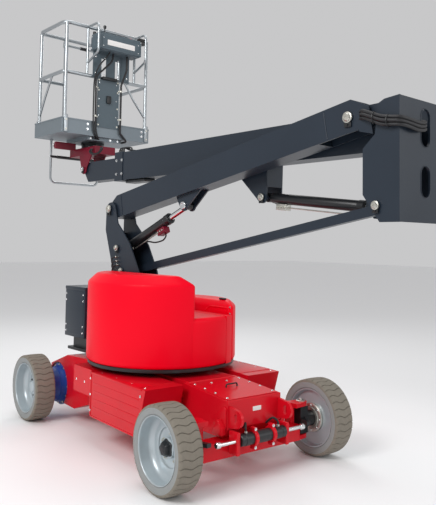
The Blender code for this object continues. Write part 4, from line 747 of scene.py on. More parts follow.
def build_steering():
    """Barrel with end glands, two bolted clamps on a saddle, hose fittings, rod boots and pin caps."""
    at = np.array(STEERING_CYLINDER)
    bore = 0.0145
    profile = [
        (-0.2, bore), (-0.2, 0.036), (-0.196, 0.040), (-0.166, 0.040), (-0.164, 0.0375), (-0.160, 0.042)
    ]
    profile += [(0.160, 0.042), (0.164, 0.0375), (0.166, 0.040), (0.196, 0.040), (0.2, 0.036), (0.2, bore)]
    piece(
        "steering_barrel", moved(spun(profile, at, (0, 1, 0), 56), from_chassis), "chassis",
        BLACK_STEEL, stands_for=("steering_cylinder",)
    )
    clamps, heads = [], []
    for y in (-0.08, 0.08):
        profile = [
            (-0.013, 0.0415), (-0.013, 0.053), (-0.011, 0.055), (0.011, 0.055), (0.013, 0.053),
            (0.013, 0.0415)
        ]
        clamps.append(spun(profile, at + [0, y, 0], (0, 1, 0), 48))
        for z in (-1, 1):
            clamps.append(
                block(
                    (1.180, y - 0.013, at[2] + z * 0.060 - 0.012),
                    (1.222, y + 0.013, at[2] + z * 0.060 + 0.012), 0.004, 0.002, "X"
                )
            )
            heads.append((1.222, y, at[2] + z * 0.060))
    clamps.append(block((1.1205, -0.10, 0.2175), (1.162, 0.10, 0.2975), 0.01, 0.003, "Z"))
    clamps.append(block((1.130, -0.235, 0.185), (1.215, -0.205, 0.335), 0.008, 0.003, "X"))
    clamps.append(block((1.130, 0.205, 0.185), (1.215, 0.235, 0.335), 0.008, 0.003, "X"))
    piece("steering_clamps", moved(together(*clamps), from_chassis), "chassis", CHASSIS_RED)
    piece(
        "steering_clamp_bolts", repeated(hex_bolt(0.0075), from_chassis(heads), (1, 0, 0)), "chassis",
        BRIGHT
    )
    hoses = []
    for y in (-0.145, 0.145):
        side = 1 if y > 0 else -1
        route = [
            (1.195, y, 0.315), (1.193, y, 0.350), (1.168, y - side * 0.02, 0.372),
            (1.140, y - side * 0.035, 0.352), (1.118, y - side * 0.04, 0.330)
        ]
        hoses.append(tube(from_chassis(curve_through(route, 8)), 0.0075, 12))
    piece("steering_hoses", together(*hoses), "chassis", HOSE)
    fittings = [rod((1.195, y, 0.308), (1.195, y, 0.330), 0.0115, 6) for y in (-0.145, 0.145)]
    piece("steering_fittings", moved(together(*fittings), from_chassis), "chassis", ZINC)
    caps = []
    for side in (-1, 1):
        for z, way in ((0.4155, 1), (0.1545, -1)):
            profile = [
                (0, 0), (0, 0.034), (0.005, 0.034), (0.007, 0.030), (0.007, 0.012), (0.016, 0.010),
                (0.018, 0.006), (0.018, 0)
            ]
            caps.append(spun(profile, (AXLE_X, side * KING_PIN_Y, z), (0, 0, way), 32))
    piece("king_pin_caps", moved(together(*caps), from_chassis), "chassis", ZINC)
    reach = 0.395
    profile = [
        (-reach, 0), (-reach, 0.016), (0.006 - reach, 0.0215), (0.029 - reach, 0.0215),
        (0.035 - reach, 0.0135)
    ]
    profile += [
        (reach - 0.035, 0.0135), (reach - 0.029, 0.0215), (reach - 0.006, 0.0215), (reach, 0.016),
        (reach, 0)
    ]
    piece(
        "steering_rod_chromed", moved(spun(profile, at, (0, 1, 0), 40), from_chassis), "steering_rod",
        BRIGHT, stands_for=("steering_rod",)
    )


def build_slew_gear():
    """A ring whose rim rises and falls as a flattened cosine of the angle: the slewing teeth."""
    low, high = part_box("slew_ring")
    centre = np.array([(low[0] + high[0]) / 2, 0.0, 0.0])
    teeth, steps = 84, 8
    angle = np.linspace(0, 2 * pi, teeth * steps, endpoint=False)
    tooth = np.clip(1.8 * np.cos(teeth * angle), -1, 1)
    rings = []
    for z, base, height in (
        (low[2], 0.36, 0), (low[2], 0.386, 0.008), (low[2] + 0.020, 0.386, 0.008),
        (low[2] + 0.0205, 0.374, 0), (high[2], 0.372, 0), (high[2], 0.34, 0)
    ):
        r = base + height * tooth
        rings.append(np.stack([r * np.cos(angle), r * np.sin(angle), np.full_like(angle, z)], -1))
    piece("slew_ring_gear", skin(np.array(rings) + centre), "chassis", BLACK_STEEL, stands_for=("slew_ring",))


build_nose_trim()
build_box_trim()
build_drive_trim()
build_steering()
build_slew_gear()


# ---------------------------------------------------------------- turntable
def segment_outline(radius, edge, corner, side):
    """The part of a disc beyond the chord y = side edge, its two corners filleted.

    The fillet's centre lies corner inside both the circle and the chord.
    """
    y = edge + corner
    x = (max((radius - corner) ** 2 - y**2, 0)) ** 0.5
    lift = atan2(y, x)
    line = np.stack([np.linspace(-x, x, 14), np.full(14, edge)], -1)[1:-1]
    right = circle_outline((x, y), corner, 8, -pi / 2, lift)
    arc = circle_outline((0, 0), radius, 72, lift, pi - lift)[1:-1]
    left = circle_outline((-x, y), corner, 8, pi - lift, 3 * pi / 2)
    outline = np.concatenate([line, right, arc, left])
    return outline * [1, side]


def hood_shape(radius, edge, side, low, high, shoulder, corner):
    """Stacked outlines: the skirt tucks in at the bottom, the wall is upright, the shoulder slopes in.

    Inset at height z: a quarter circle below, nothing on the wall, then a straight chamfer with
    both of its bends rounded, and a slightly crowned lid.
    """
    tuck = 0.022
    stations = [(low, tuck * 1.0), (low + 0.004, tuck * 0.55), (low + 0.012, tuck * 0.2), (low + 0.026, 0.0)]
    start = high - shoulder
    stations += [(start - 0.018, 0.0), (start - 0.008, 0.001), (start, 0.004), (start + 0.010, 0.011)]
    stations += [
        (high - 0.018, shoulder - 0.014), (high - 0.009, shoulder - 0.004),
        (high - 0.004, shoulder + 0.004)
    ]
    stations += [(high - 0.001, shoulder + 0.016), (high, shoulder + 0.035)]
    rings = [set_on(segment_outline(radius - d, edge + d, corner, side), z, "Z") for z, d in stations]
    return skin(rings)


def build_hoods():
    """The tall cover with its low wrap, the far cover with screws, latches and ridge, and the deck."""
    tall = hood_shape(HOOD_RADIUS, NEAR_HOOD_EDGE, -1, HOOD_BOTTOM, HOOD_TOP, 0.07, 0.022)
    radius, low_y, high_y = HOOD_RADIUS - 0.0006, -0.175, 0.2
    arc = circle_outline((0, 0), radius, 30, asin(low_y / radius), asin(high_y / radius))
    outline = np.concatenate([[(0.10, low_y)], arc, [(0.10, high_y)]])
    stations = [(HOOD_BOTTOM, 0.022), (HOOD_BOTTOM + 0.004, 0.012), (HOOD_BOTTOM + 0.012, 0.004)]
    stations += [(HOOD_BOTTOM + 0.026, 0.0), (0.962, 0.0), (0.972, 0.0012)]
    stations += [(0.984, 0.006), (0.993, 0.013), (0.998, 0.022), (1.0, 0.034)]
    low = skin([set_on(drawn_in(outline, d), z, "Z") for z, d in stations])
    piece(
        "near_hood_moulding", moved(together(tall, low), from_turntable), "turntable", HOOD_RED,
        angle=50, stands_for=("near_hood",)
    )
    far = hood_shape(HOOD_RADIUS, FAR_HOOD_EDGE, 1, HOOD_BOTTOM, 1.10, 0.045, 0.018)
    piece(
        "far_hood_moulding", moved(far, from_turntable), "turntable", HOOD_RED, angle=50,
        stands_for=("far_hood",)
    )
    edged("counterweight", HOOD_RED, 0.008, 3)
    edged("turntable_deck", BLACK_STEEL, 0.003)
    screws = [(0.50, 0.3045, z) for z in (1.00, 1.05)] + [(-0.42, 0.3045, 1.02)]
    piece(
        "far_hood_screws", repeated(dome_screw(0.008), from_turntable(screws), (0, -1, 0)), "turntable",
        BRIGHT
    )
    latches = []
    for x, y, z in ((0.34, 0.37, 1.0995), (-0.25, 0.36, 1.0995)):
        latches.append(block((x - 0.035, y - 0.014, z), (x + 0.035, y + 0.014, z + 0.014), 0.008, 0.004))
    piece("far_hood_latches", moved(together(*latches), from_turntable), "turntable", BLACK_STEEL)
    recess = block((0.20, 0.3020, 0.90), (0.46, 0.3048, 1.03), 0.02, 0.001, "Y")
    ridge = tube(
        from_turntable(
            bent(
                [
                    (0.14, 0.3035, 0.96), (0.26, 0.3035, 1.045), (0.49, 0.3035, 1.045),
                    (0.49, 0.3035, 0.90)
                ],
                0.03
            )
        ),
        0.006
    )
    piece("far_hood_ridge", together(moved(recess, from_turntable), ridge), "turntable", HOOD_RED)


def build_electrics():
    """A folded steel box: shell, rolled lid with an overhang, four corner screws, glands and louvres."""
    low, high = (-0.98, -0.36, 0.72), (-0.64, 0.06, 1.16)
    shell = block(low, (high[0], high[1], 1.146), 0.010, 0.004)
    piece(
        "electrical_box_shell", moved(shell, from_turntable), "turntable", SLATE,
        stands_for=("electrical_box",)
    )
    lid = together(
        block(
            (low[0] - 0.003, low[1] - 0.003, 1.134), (high[0] + 0.003, high[1] + 0.003, 1.1615), 0.010,
            0.004
        ),
        block(
            (low[0] + 0.02, low[1] - 0.0022, 0.745), (high[0] - 0.02, low[1] + 0.001, 1.115), 0.010,
            0.001, "Y"
        ),
    )
    piece("electrical_box_lid", moved(lid, from_turntable), "turntable", SLATE)
    screws = [(x, -0.3622, z) for x in (-0.665, -0.955) for z in (0.765, 0.82, 1.04, 1.095)]
    piece(
        "electrical_box_screws", repeated(dome_screw(0.0075), from_turntable(screws), (0, -1, 0)),
        "turntable", BRIGHT
    )
    louvres = []
    for row in range(7):
        z = 0.80 + 0.035 * row
        outline = [(-0.9805, z), (-0.9805, z + 0.018), (-0.988, z + 0.004), (-0.988, z)]
        louvres.append(slab(np.array(outline)[::-1], -0.28, -0.02, "Y", 0.0008))
    piece("electrical_box_louvres", moved(together(*louvres), from_turntable), "turntable", SLATE)
    glands = []
    for y in (-0.24, -0.14, -0.04):
        glands.append(
            spun(
                [(0, 0), (0, 0.016), (-0.010, 0.016), (-0.012, 0.011), (-0.024, 0.010), (-0.024, 0)],
                (-0.70, y, 0.7195), around=24
            )
        )
        route = [(-0.70, y, 0.70), (-0.695, y, 0.68), (-0.66, y * 0.7, 0.655), (-0.60, y * 0.5, 0.650)]
        glands.append(tube(curve_through(route, 6), 0.0065, 10))
    piece("electrical_box_cables", moved(together(*glands), from_turntable), "turntable", HOSE)


def pin_cap(x, y, z, radius, side, place, body, name, paint=ZINC):
    """A stepped head over a pin's end, with a square keeper plate and its bolt."""
    profile = [
        (0, 0), (0, radius * 1.45), (0.004, radius * 1.5), (0.010, radius * 1.45),
        (0.012, radius * 1.1), (0.018, radius)
    ]
    profile += [(0.022, radius * 0.8), (0.022, radius * 0.35), (0.019, radius * 0.3), (0.019, 0)]
    shape = spun(profile, (x, y, z), (0, side, 0), 40)
    piece(name, moved(shape, place), body, paint)
    keeper = block(
        (x - radius * 1.1, min(y, y + side * 0.006), z - radius * 2.5),
        (x + radius * 1.1, max(y, y + side * 0.006), z - radius * 1.3), 0.004, 0.0015, "Y"
    )
    head = repeated(hex_bolt(radius * 0.32), [(x, y + side * 0.006, z - radius * 1.9)], (0, side, 0))
    piece(name + "_keeper", moved(together(keeper, head), place), body, BLACK_STEEL)


def build_riser():
    """Edged cheeks with pin heads on the near side, hose fittings and a small bolted box."""
    edged("riser", SLATE, 0.003)
    for tag, (x, z), radius in (
        ("riser", RISER_PIN, BOOM_PIN_RADIUS), ("cylinder", LOWER_FOOT, CYLINDER_PIN_RADIUS),
        ("link", RISER_LINK_PIN, LINK_PIN_RADIUS),
    ):
        pin_cap(x, -0.119, z, radius, -1, from_turntable, "turntable", f"{tag}_pin_near", ZINC)
    fittings, hoses = [], []
    for k, z in enumerate((1.36, 1.395, 1.43)):
        fittings.append(rod((-0.505 - 0.012 * k, -0.108, z), (-0.505 - 0.012 * k, -0.132, z), 0.010, 6))
        route = [
            (-0.505 - 0.012 * k, -0.130, z), (-0.525 - 0.012 * k, -0.150, z - 0.012),
            (-0.548, -0.146, z - 0.06), (-0.50 + 0.02 * k, -0.128, 1.29)
        ]
        hoses.append(tube(curve_through(route, 8), 0.0065, 12))
    piece("riser_fittings", moved(together(*fittings), from_turntable), "turntable", ZINC)
    piece("riser_hoses", moved(together(*hoses), from_turntable), "turntable", HOSE)
    box = together(
        block((-0.700, -0.060, 1.565), (-0.655, 0.050, 1.660), 0.006, 0.003),
        repeated(
            hex_bolt(0.006), [(-0.7003, y, z) for y in (-0.045, 0.035) for z in (1.58, 1.645)],
            (-1, 0, 0)
        ),
    )
    piece("riser_junction_box", moved(box, from_turntable), "turntable", BLACK_STEEL)


build_hoods()
build_electrics()
build_riser()


# ---------------------------------------------------------------- booms
for node in ("lower_boom", "tension_link", "upright", "upper_boom", "fly_boom"):
    edged(node, SLATE, 0.0035)
edged("slide_pad_carrier", BLACK_STEEL, 0.003)


def build_cylinder(name, foot, eye, middle, radius, length, tail, barrel_body, rod_body, paint):
    """Barrel, gland nut and foot eye as one spun body, and a ground rod that ends in its own eye.

    Returns the cylinder's own coordinates, in which its trim is placed.
    """
    place = from_between(foot, eye, middle)
    stretch = hypot(eye[0] - foot[0], eye[1] - foot[1])
    rod_radius = radius * 0.58
    bore = rod_radius + 0.0006
    profile = [
        (0.02, 0), (0.02, radius * 0.7), (0.034, radius * 0.96), (0.040, radius),
        (length - 0.062, radius)
    ]
    profile += [
        (length - 0.058, radius * 0.94), (length - 0.052, radius * 0.94),
        (length - 0.050, radius + 0.004)
    ]
    profile += [
        (length - 0.004, radius + 0.004), (length, radius), (length, bore + 0.004),
        (length - 0.004, bore), (length - 0.03, bore), (length - 0.03, 0)
    ]
    barrel = spun(profile, axis=(1, 0, 0), around=48)
    ring = [
        (-0.028, 0.0185), (-0.028, 0.030), (-0.024, 0.034), (0.024, 0.034), (0.028, 0.030),
        (0.028, 0.0185)
    ]
    foot_eye = spun(ring, axis=(0, 1, 0), around=40)
    piece(
        f"{name}_barrel_finished", moved(together(barrel, foot_eye), place), barrel_body, paint,
        stands_for=(f"{name}_barrel",)
    )
    bar = spun(
        [(tail, 0), (tail, rod_radius), (stretch - 0.02, rod_radius), (stretch - 0.02, 0)],
        axis=(1, 0, 0), around=40
    )
    piece(f"{name}_rod_chromed", moved(bar, place), rod_body, BRIGHT, stands_for=(f"{name}_rod",))
    end = spun([(h, r) if r > 0.0185 else (h, 0.0188) for h, r in ring], (stretch, 0, 0), (0, 1, 0), 40)
    piece(f"{name}_rod_eye", moved(end, place), rod_body, BLACK_STEEL)
    return place


def build_lower_cylinder():
    """The lower lift cylinder with a valve block near its gland, a pipe, plugs and a hose loop."""
    place = build_cylinder(
        "lower", LOWER_FOOT, LOWER_EYE, LOWER_MIDDLE, 0.042, 0.68, 0.30, "lower_barrel", "lower_rod",
        BLACK_STEEL
    )
    valve = block((0.50, -0.032, -0.090), (0.60, 0.032, -0.040), 0.005, 0.003)
    piece("lower_valve_block", moved(valve, place), "lower_barrel", CRIMSON)
    pipe = tube(bent([(0.51, -0.012, -0.056), (0.10, -0.012, -0.056), (0.10, -0.012, -0.040)], 0.012), 0.005)
    plugs = [
        rod((0.52 + 0.03 * k, -0.032, -0.066), (0.52 + 0.03 * k, -0.042, -0.066), 0.008, 6)
        for k in range(3)
    ]
    piece("lower_cylinder_pipe", moved(together(pipe, *plugs), place), "lower_barrel", ZINC)
    loop = curve_through(
        [
            (0.56, 0.012, -0.088), (0.55, 0.012, -0.112), (0.50, 0.012, -0.126), (0.40, 0.012, -0.105),
            (0.32, 0.012, -0.066), (0.28, 0.012, -0.050)
        ],
        8
    )
    piece("lower_cylinder_hose", moved(tube(loop, 0.0065), place), "lower_barrel", HOSE)


def build_upper_cylinder():
    """The upper lift cylinder with a valve block and a pipe under its barrel."""
    place = build_cylinder(
        "upper", UPPER_FOOT, UPPER_EYE, UPPER_MIDDLE, 0.038, 0.86, 0.26, "upper_barrel", "upper_rod",
        BLACK_STEEL
    )
    valve = block((0.09, -0.028, -0.082), (0.19, 0.028, -0.036), 0.005, 0.003)
    pipe = tube(bent([(0.18, 0, -0.060), (0.76, 0, -0.060), (0.80, 0, -0.036)], 0.012), 0.005)
    plugs = [
        rod((0.11 + 0.03 * k, -0.028, -0.060), (0.11 + 0.03 * k, -0.038, -0.060), 0.008, 6)
        for k in range(3)
    ]
    piece("upper_valve_block", moved(together(valve, pipe, *plugs), place), "upper_barrel", ZINC)


def weld_bead(path, radius):
    """A thin bead whose size pulses along its length like laid weld."""
    return tube(path, radius, 8, ripple=0.14, ripples=len(path) // 3)


def build_boom_trim():
    """Collar bolts, mouth fittings and hoses, pin heads, eye bosses, weld beads and the boom's cable track.
    """
    places = [(x, 0.1085, z) for x in (-0.92, -0.83) for z in (2.34, 2.21)]
    piece("collar_bolts", repeated(hex_bolt(0.010), from_turntable(places), (0, -1, 0)), "upper_boom", BRIGHT)
    places = [(x, 0.2915, z) for x in (-0.92, -0.83) for z in (2.34, 2.21)]
    piece(
        "collar_bolts_far", repeated(hex_bolt(0.010), from_turntable(places), (0, 1, 0)), "upper_boom",
        BRIGHT
    )
    track = [
        block((x, 0.165, 2.4155), (x + 0.028, 0.235, 2.4265), 0.004, 0.002)
        for x in np.arange(-0.78, 0.30, 0.034)
    ]
    piece("boom_cable_track", moved(together(*track), from_turntable), "upper_boom", BLACK_STEEL)
    fittings = [
        rod((-0.93 + 0.035 * k, 0.150, 2.4205), (-0.93 + 0.035 * k, 0.150, 2.448), 0.010, 6)
        for k in range(3)
    ]
    piece("boom_mouth_fittings", moved(together(*fittings), from_turntable), "upper_boom", BLACK_STEEL)
    hoses = []
    for k in range(3):
        route = [
            (-0.93 + 0.035 * k, 0.150, 2.440), (-0.91 + 0.035 * k, 0.150, 2.462),
            (-0.86 + 0.035 * k, 0.165 + 0.01 * k, 2.462), (-0.80, 0.175 + 0.016 * k, 2.440),
            (-0.74, 0.178 + 0.016 * k, 2.432)
        ]
        hoses.append(tube(curve_through(route, 8), 0.007, 12))
    piece("boom_mouth_hoses", moved(together(*hoses), from_turntable), "upper_boom", HOSE)
    pin_cap(
        LEVEL_PIN[0], 0.1015, LEVEL_PIN[1], LINK_PIN_RADIUS, -1, from_turntable, "platform_bracket",
        "level_pin_near", BRIGHT
    )
    pin_cap(
        UPPER_FOOT[0], 0.103, UPPER_FOOT[1], CYLINDER_PIN_RADIUS, -1, from_turntable, "upper_boom",
        "barrel_pin_near", ZINC
    )
    pin_cap(
        UPPER_FOOT[0], 0.297, UPPER_FOOT[1], CYLINDER_PIN_RADIUS, 1, from_turntable, "upper_boom",
        "barrel_pin_far", ZINC
    )
    x = RISER_PIN[0] + BOOM_LENGTH * cos(BOOM_LEAN)
    z = RISER_PIN[1] + BOOM_LENGTH * sin(BOOM_LEAN)
    pin_cap(x, -0.091, z, BOOM_PIN_RADIUS, -1, from_turntable, "upright", "upright_pin_near", ZINC)
    pin_cap(
        x + LINK_OFFSET[0], -0.119, z + LINK_OFFSET[1], CYLINDER_PIN_RADIUS, -1, from_turntable,
        "upright", "lower_pin_near", ZINC
    )
    pin_cap(
        UPPER_PIN[0], 0.318, UPPER_PIN[1], BOOM_PIN_RADIUS, 1, from_turntable, "upright",
        "upper_pin_far", ZINC
    )
    eye_x, eye_z = 0.9832, -0.1786
    bosses = []
    for side in (-1, 1):
        start = LOWER_MIDDLE + side * 0.0448
        ring = [
            (0, 0), (0, 0.030), (0.003, 0.032), (0.016, 0.032), (0.019, 0.029), (0.019, 0.018),
            (0.015, 0.016), (0.015, 0)
        ]
        bosses.append(spun(ring, (eye_x, start, eye_z), (0, side, 0), 36))
    piece("lower_eye_bosses", moved(together(*bosses), from_boom), "lower_boom", BRIGHT)
    beads = []
    for y in (-0.0862, 0.0762):
        for x in (0.16, 2.50):
            run = np.stack([np.full(40, x), np.full(40, y), np.linspace(-0.085, 0.095, 40)], -1)
            beads.append(weld_bead(run, 0.0022))
    piece("lower_boom_beads", moved(together(*beads), from_boom), "lower_boom", SLATE)


def build_upright_trim():
    """The hose bundle that comes out of the boom, crosses the near plate and enters the back window."""
    hoses = []
    for k in range(6):
        lift = 0.021 * (k % 3) - 0.008
        out = 0.010 * (k // 3) + 0.005 * ((k * 2) % 3)
        route = [
            (2.02, -0.060 + out, 2.335 + lift),
            (2.09, -0.100 - out, 2.330 + lift),
            (2.16, -0.124 - out, 2.305 + lift),
            (2.24, -0.128 - out, 2.272 + lift * 1.1),
            (2.31, -0.126 - out, 2.262 + lift),
            (2.354, -0.105 - out, 2.258 + lift),
            (2.366, -0.050, 2.252 + lift),
            (2.364 + out * 0.4, 0.030, 2.244 + lift),
            (2.362, 0.100, 2.250 + lift),
            (2.352, 0.140, 2.262 + lift),
            (2.320, 0.160, 2.272 + lift),
        ]
        hoses.append(tube(curve_through(route, 7), 0.0105, 12))
    piece("upright_hoses", moved(together(*hoses), from_turntable), "upright", HOSE)
    ties = []
    for x, y, z, lean in ((2.19, -0.134, 2.292, 0.3), (2.285, -0.134, 2.264, 0.1)):
        turn = np.linspace(0, 2 * pi, 24, endpoint=False)
        ring = np.stack(
            [
                x + 0.004 * np.sin(turn) * lean, y - 0.004 + 0.026 * np.cos(turn),
                z + 0.012 + 0.036 * np.sin(turn)
            ],
            -1
        )
        ties.append(tube(ring, 0.003, 8, loop=True))
    piece("upright_hose_ties", moved(together(*ties), from_turntable), "upright", BLACK_STEEL)
    rims = []
    for top, low in ((1.99, 1.90), (2.33, 2.20)):
        outline = np.concatenate(
            [
                circle_outline((0.165, top), 0.050, 14, 0, pi),
                circle_outline((0.165, low), 0.050, 14, pi, 2 * pi)
            ]
        )
        rims.append(tube(set_on(outline, 2.3385, "X"), 0.0025, 8, loop=True))
    piece("upright_window_rims", moved(together(*rims), from_turntable), "upright", SLATE)


build_lower_cylinder()
build_upper_cylinder()
build_boom_trim()
build_upright_trim()


# ---------------------------------------------------------------- bracket and platform
FRONT, BACK, NEAR, FAR = -1.42, -1.966, -0.209, 0.793
TOP_RAIL, MID_RAIL, POST_FOOT, FLOOR_FOOT = 3.755, 3.255, 2.788, 2.645
RAIL = 0.019


def build_bracket():
    """The edged bracket, the bolted rotator, the plate on its arm and two hose loops."""
    edged("platform_bracket", CRIMSON, 0.004)
    x, y = SWING_AXIS
    profile = [(2.5302, 0), (2.5302, 0.118), (2.534, 0.1215), (2.546, 0.1215), (2.550, 0.114), (2.580, 0.114)]
    profile += [(2.584, 0.1215), (2.595, 0.1215), (2.5995, 0.117), (2.5995, 0)]
    shape = spun([(h - 2.53, r) for h, r in profile], (x, y, 2.53), around=72)
    piece(
        "rotator_turned", moved(shape, from_turntable), "platform_bracket", BLACK_STEEL,
        stands_for=("rotator",)
    )
    turn = np.linspace(0, 2 * pi, 10, endpoint=False) + 0.2
    heads = np.stack([x + 0.104 * np.cos(turn), y + 0.104 * np.sin(turn), np.full(10, 2.5502)], -1)
    piece(
        "rotator_bolts", repeated(hex_bolt(0.0065, 0.008), from_turntable(heads)), "platform_bracket",
        BRIGHT
    )
    arm = together(
        block((-1.785, -0.118, 2.532), (-1.777, 0.108, 2.575), 0.012, 0.002, "X"),
        repeated(hex_bolt(0.007), [(-1.7855, v, 2.555) for v in (-0.09, -0.03, 0.03, 0.09)], (-1, 0, 0)),
    )
    piece("bracket_arm_plate", moved(arm, from_turntable), "platform_bracket", BRIGHT)
    heads = [(u, v, 2.5304) for u in (-1.40, -1.50) for v in (0.14, 0.32)]
    piece("bracket_bolts", repeated(hex_bolt(0.009), from_turntable(heads)), "platform_bracket", BRIGHT)
    loops = []
    for k in range(2):
        start = -1.36 - 0.03 * k
        path = [
            (start, 0.100, 2.50), (start, 0.085, 2.47), (start + 0.06, 0.080, 2.44),
            (start + 0.14, 0.095, 2.445), (start + 0.18, 0.104, 2.478), (start + 0.17, 0.107, 2.50)
        ]
        loops.append(tube(curve_through(path, 7), 0.0075, 12))
    piece("bracket_hoses", moved(together(*loops), from_turntable), "platform_bracket", HOSE)


def hoop(height, corner=0.06):
    """The closed rail: a rectangle with round corners, walked all the way round."""
    corners = [(FRONT, NEAR), (FRONT, FAR), (BACK, FAR), (BACK, NEAR)]
    return set_on(rounded_outline(corners, corner, 8), height, "Z")


def build_rails():
    """Top and middle rails, corner and entry posts, guards over the controls, braces, shoes and an elbow
    sleeve.
    """
    parts = [tube(hoop(TOP_RAIL, 0.07), RAIL, 20, loop=True)]
    ring = [
        (BACK, ENTRY_POSTS[0]), (BACK, NEAR), (FRONT, NEAR), (FRONT, FAR), (BACK, FAR),
        (BACK, ENTRY_POSTS[1])
    ]
    parts.append(tube(bent([(x, y, MID_RAIL) for x, y in ring], 0.055), RAIL, 20))
    inner = 0.02
    for x, y in ((FRONT, NEAR + inner), (FRONT, FAR - inner), (BACK, NEAR + inner), (BACK, FAR - inner)):
        parts.append(
            tube([(x, y, POST_FOOT + 0.0002), (x, y, 3.20), (x, y, TOP_RAIL - 0.004)], RAIL * 0.92, 18)
        )
    for y in ENTRY_POSTS:
        parts.append(
            tube(
                [(BACK, y, POST_FOOT + 0.0002), (BACK, y, 3.2), (BACK, y, TOP_RAIL - 0.004)],
                RAIL * 0.92, 18
            )
        )
    for y in (0.05, 0.62):
        path = [(FRONT, y, TOP_RAIL), (-1.21, y, TOP_RAIL), (-1.21, y, 3.46), (FRONT, y, 3.38)]
        parts.append(tube(bent(path, 0.055), 0.012, 16))
        parts.append(tube([(FRONT, y, MID_RAIL), (FRONT, y, 3.5), (FRONT, y, TOP_RAIL)], 0.014, 16))
    brace = bent([(BACK, NEAR + 0.02, 2.86), (BACK + 0.16, NEAR, 3.05), (BACK + 0.30, NEAR, MID_RAIL)], 0.08)
    parts.append(tube(brace, 0.011, 14))
    parts.append(
        tube(
            bent([(FRONT, FAR - 0.02, 2.90), (FRONT, 0.62, 3.08), (FRONT, 0.50, MID_RAIL)], 0.08),
            0.011, 14
        )
    )
    piece(
        "platform_tubes", moved(together(*parts), from_turntable), "platform", RAIL_STEEL, angle=40,
        stands_for=("platform_rails",)
    )
    shoes, heads = [], []
    for x, y, way in (
        (FRONT, NEAR + inner, 1), (FRONT, FAR - inner, 1), (BACK, NEAR + inner, -1), (
            BACK, FAR - inner, -1
        ), (BACK, ENTRY_POSTS[0], -1), (BACK, ENTRY_POSTS[1], -1),
    ):
        outer = x + way * 0.0205
        low, high = sorted((outer, outer + way * 0.014))
        shoes.append(
            block((low, y - 0.020, FLOOR_FOOT), (high, y + 0.020, POST_FOOT + 0.03), 0.006, 0.003, "X")
        )
        heads += [(outer + way * 0.014, y, z) for z in (2.672, 2.765)]
        shoes.append(
            spun(
                [(0, 0), (0, RAIL * 1.15), (0.022, RAIL * 1.1), (0.026, RAIL * 0.95), (0.026, 0)],
                (x, y, POST_FOOT + 0.0002), around=20
            )
        )
    piece("post_shoes", moved(together(*shoes), from_turntable), "platform", RAIL_STEEL)
    for way in (1, -1):
        chosen = [h for h in heads if (h[0] > -1.7) == (way > 0)]
        piece(
            f"shoe_bolts_{'front' if way > 0 else 'back'}",
            repeated(hex_bolt(0.0075), from_turntable(chosen), (way, 0, 0)), "platform", ZINC
        )
    cap = tube(
        bent(
            [(FRONT, FAR - 0.15, TOP_RAIL), (FRONT, FAR, TOP_RAIL), (FRONT - 0.10, FAR, TOP_RAIL)], 0.07
        ),
        RAIL + 0.0035, 20
    )
    piece("rail_elbow_sleeve", moved(cap, from_turntable), "platform", BLACK_STEEL)


def build_floor():
    """Chequer plate between toe boards: lozenges at +45 and -45 degrees on a square grid."""
    edged("platform_floor", FLOOR_GREY, 0.0025)
    lozenge = spun([(0, 0), (0, 1.0), (0.0008, 0.9), (0.0016, 0.45), (0.0018, 0)], around=8)
    parts = []
    step = 0.032
    for flip in (0, 1):
        xs = np.arange(-1.955, -1.425, step) + 0.5 * step * flip
        ys = np.arange(-0.195, 0.785, step) + 0.5 * step * flip
        gx, gy = np.meshgrid(xs[xs < -1.43], ys[ys < 0.785])
        places = np.stack([gx.ravel(), gy.ravel(), np.full(gx.size, FLOOR_TOP + 0.0001)], -1)
        c = cos(pi / 4 if flip else -pi / 4)
        s = sin(pi / 4 if flip else -pi / 4)
        flat = lozenge[0] * [0.011, 0.0038, 1.0]
        turned = np.stack([flat[:, 0] * c - flat[:, 1] * s, flat[:, 0] * s + flat[:, 1] * c, flat[:, 2]], -1)
        parts.append(repeated((turned, lozenge[1], []), from_turntable(places)))
    piece("floor_chequers", together(*parts), "platform", FLOOR_GREY)
    lips = []
    for low, high in (
        ((-1.4015, -0.229, 2.776), (-1.3965, 0.813, 2.7895)), (
            (-1.9895, -0.229, 2.776), (-1.9845, 0.813, 2.7895)
        ),
        ((-1.986, -0.2325, 2.776), (-1.40, -0.2275, 2.7895)), (
            (-1.986, 0.8115, 2.776), (-1.40, 0.8165, 2.7895)
        ),
    ):
        lips.append(block(low, high, 0.0016, 0.0012, "Z"))
    piece("toe_board_lips", moved(together(*lips), from_turntable), "platform", FLOOR_GREY)
    heads = [(-1.3998, y, z) for y in (0.06, 0.72) for z in (2.70, 2.75)]
    piece("toe_board_bolts", repeated(hex_bolt(0.009), from_turntable(heads), (1, 0, 0)), "platform", BRIGHT)
    frame_parts = []
    for y in (0.10, 0.44):
        frame_parts.append(block((-1.88, y, 2.628), (-1.46, y + 0.03, 2.634), 0.004, 0.002))
    frame_parts.append(block((-1.465, 0.10, 2.606), (-1.452, 0.48, 2.640), 0.004, 0.002, "X"))
    piece("under_frame_ribs", moved(together(*frame_parts), from_turntable), "platform", BLACK_STEEL)
    heads = [(-1.4505, y, 2.622) for y in (0.13, 0.21, 0.36, 0.45)]
    piece(
        "under_frame_bolts", repeated(hex_bolt(0.0085), from_turntable(heads), (1, 0, 0)), "platform",
        BRIGHT
    )


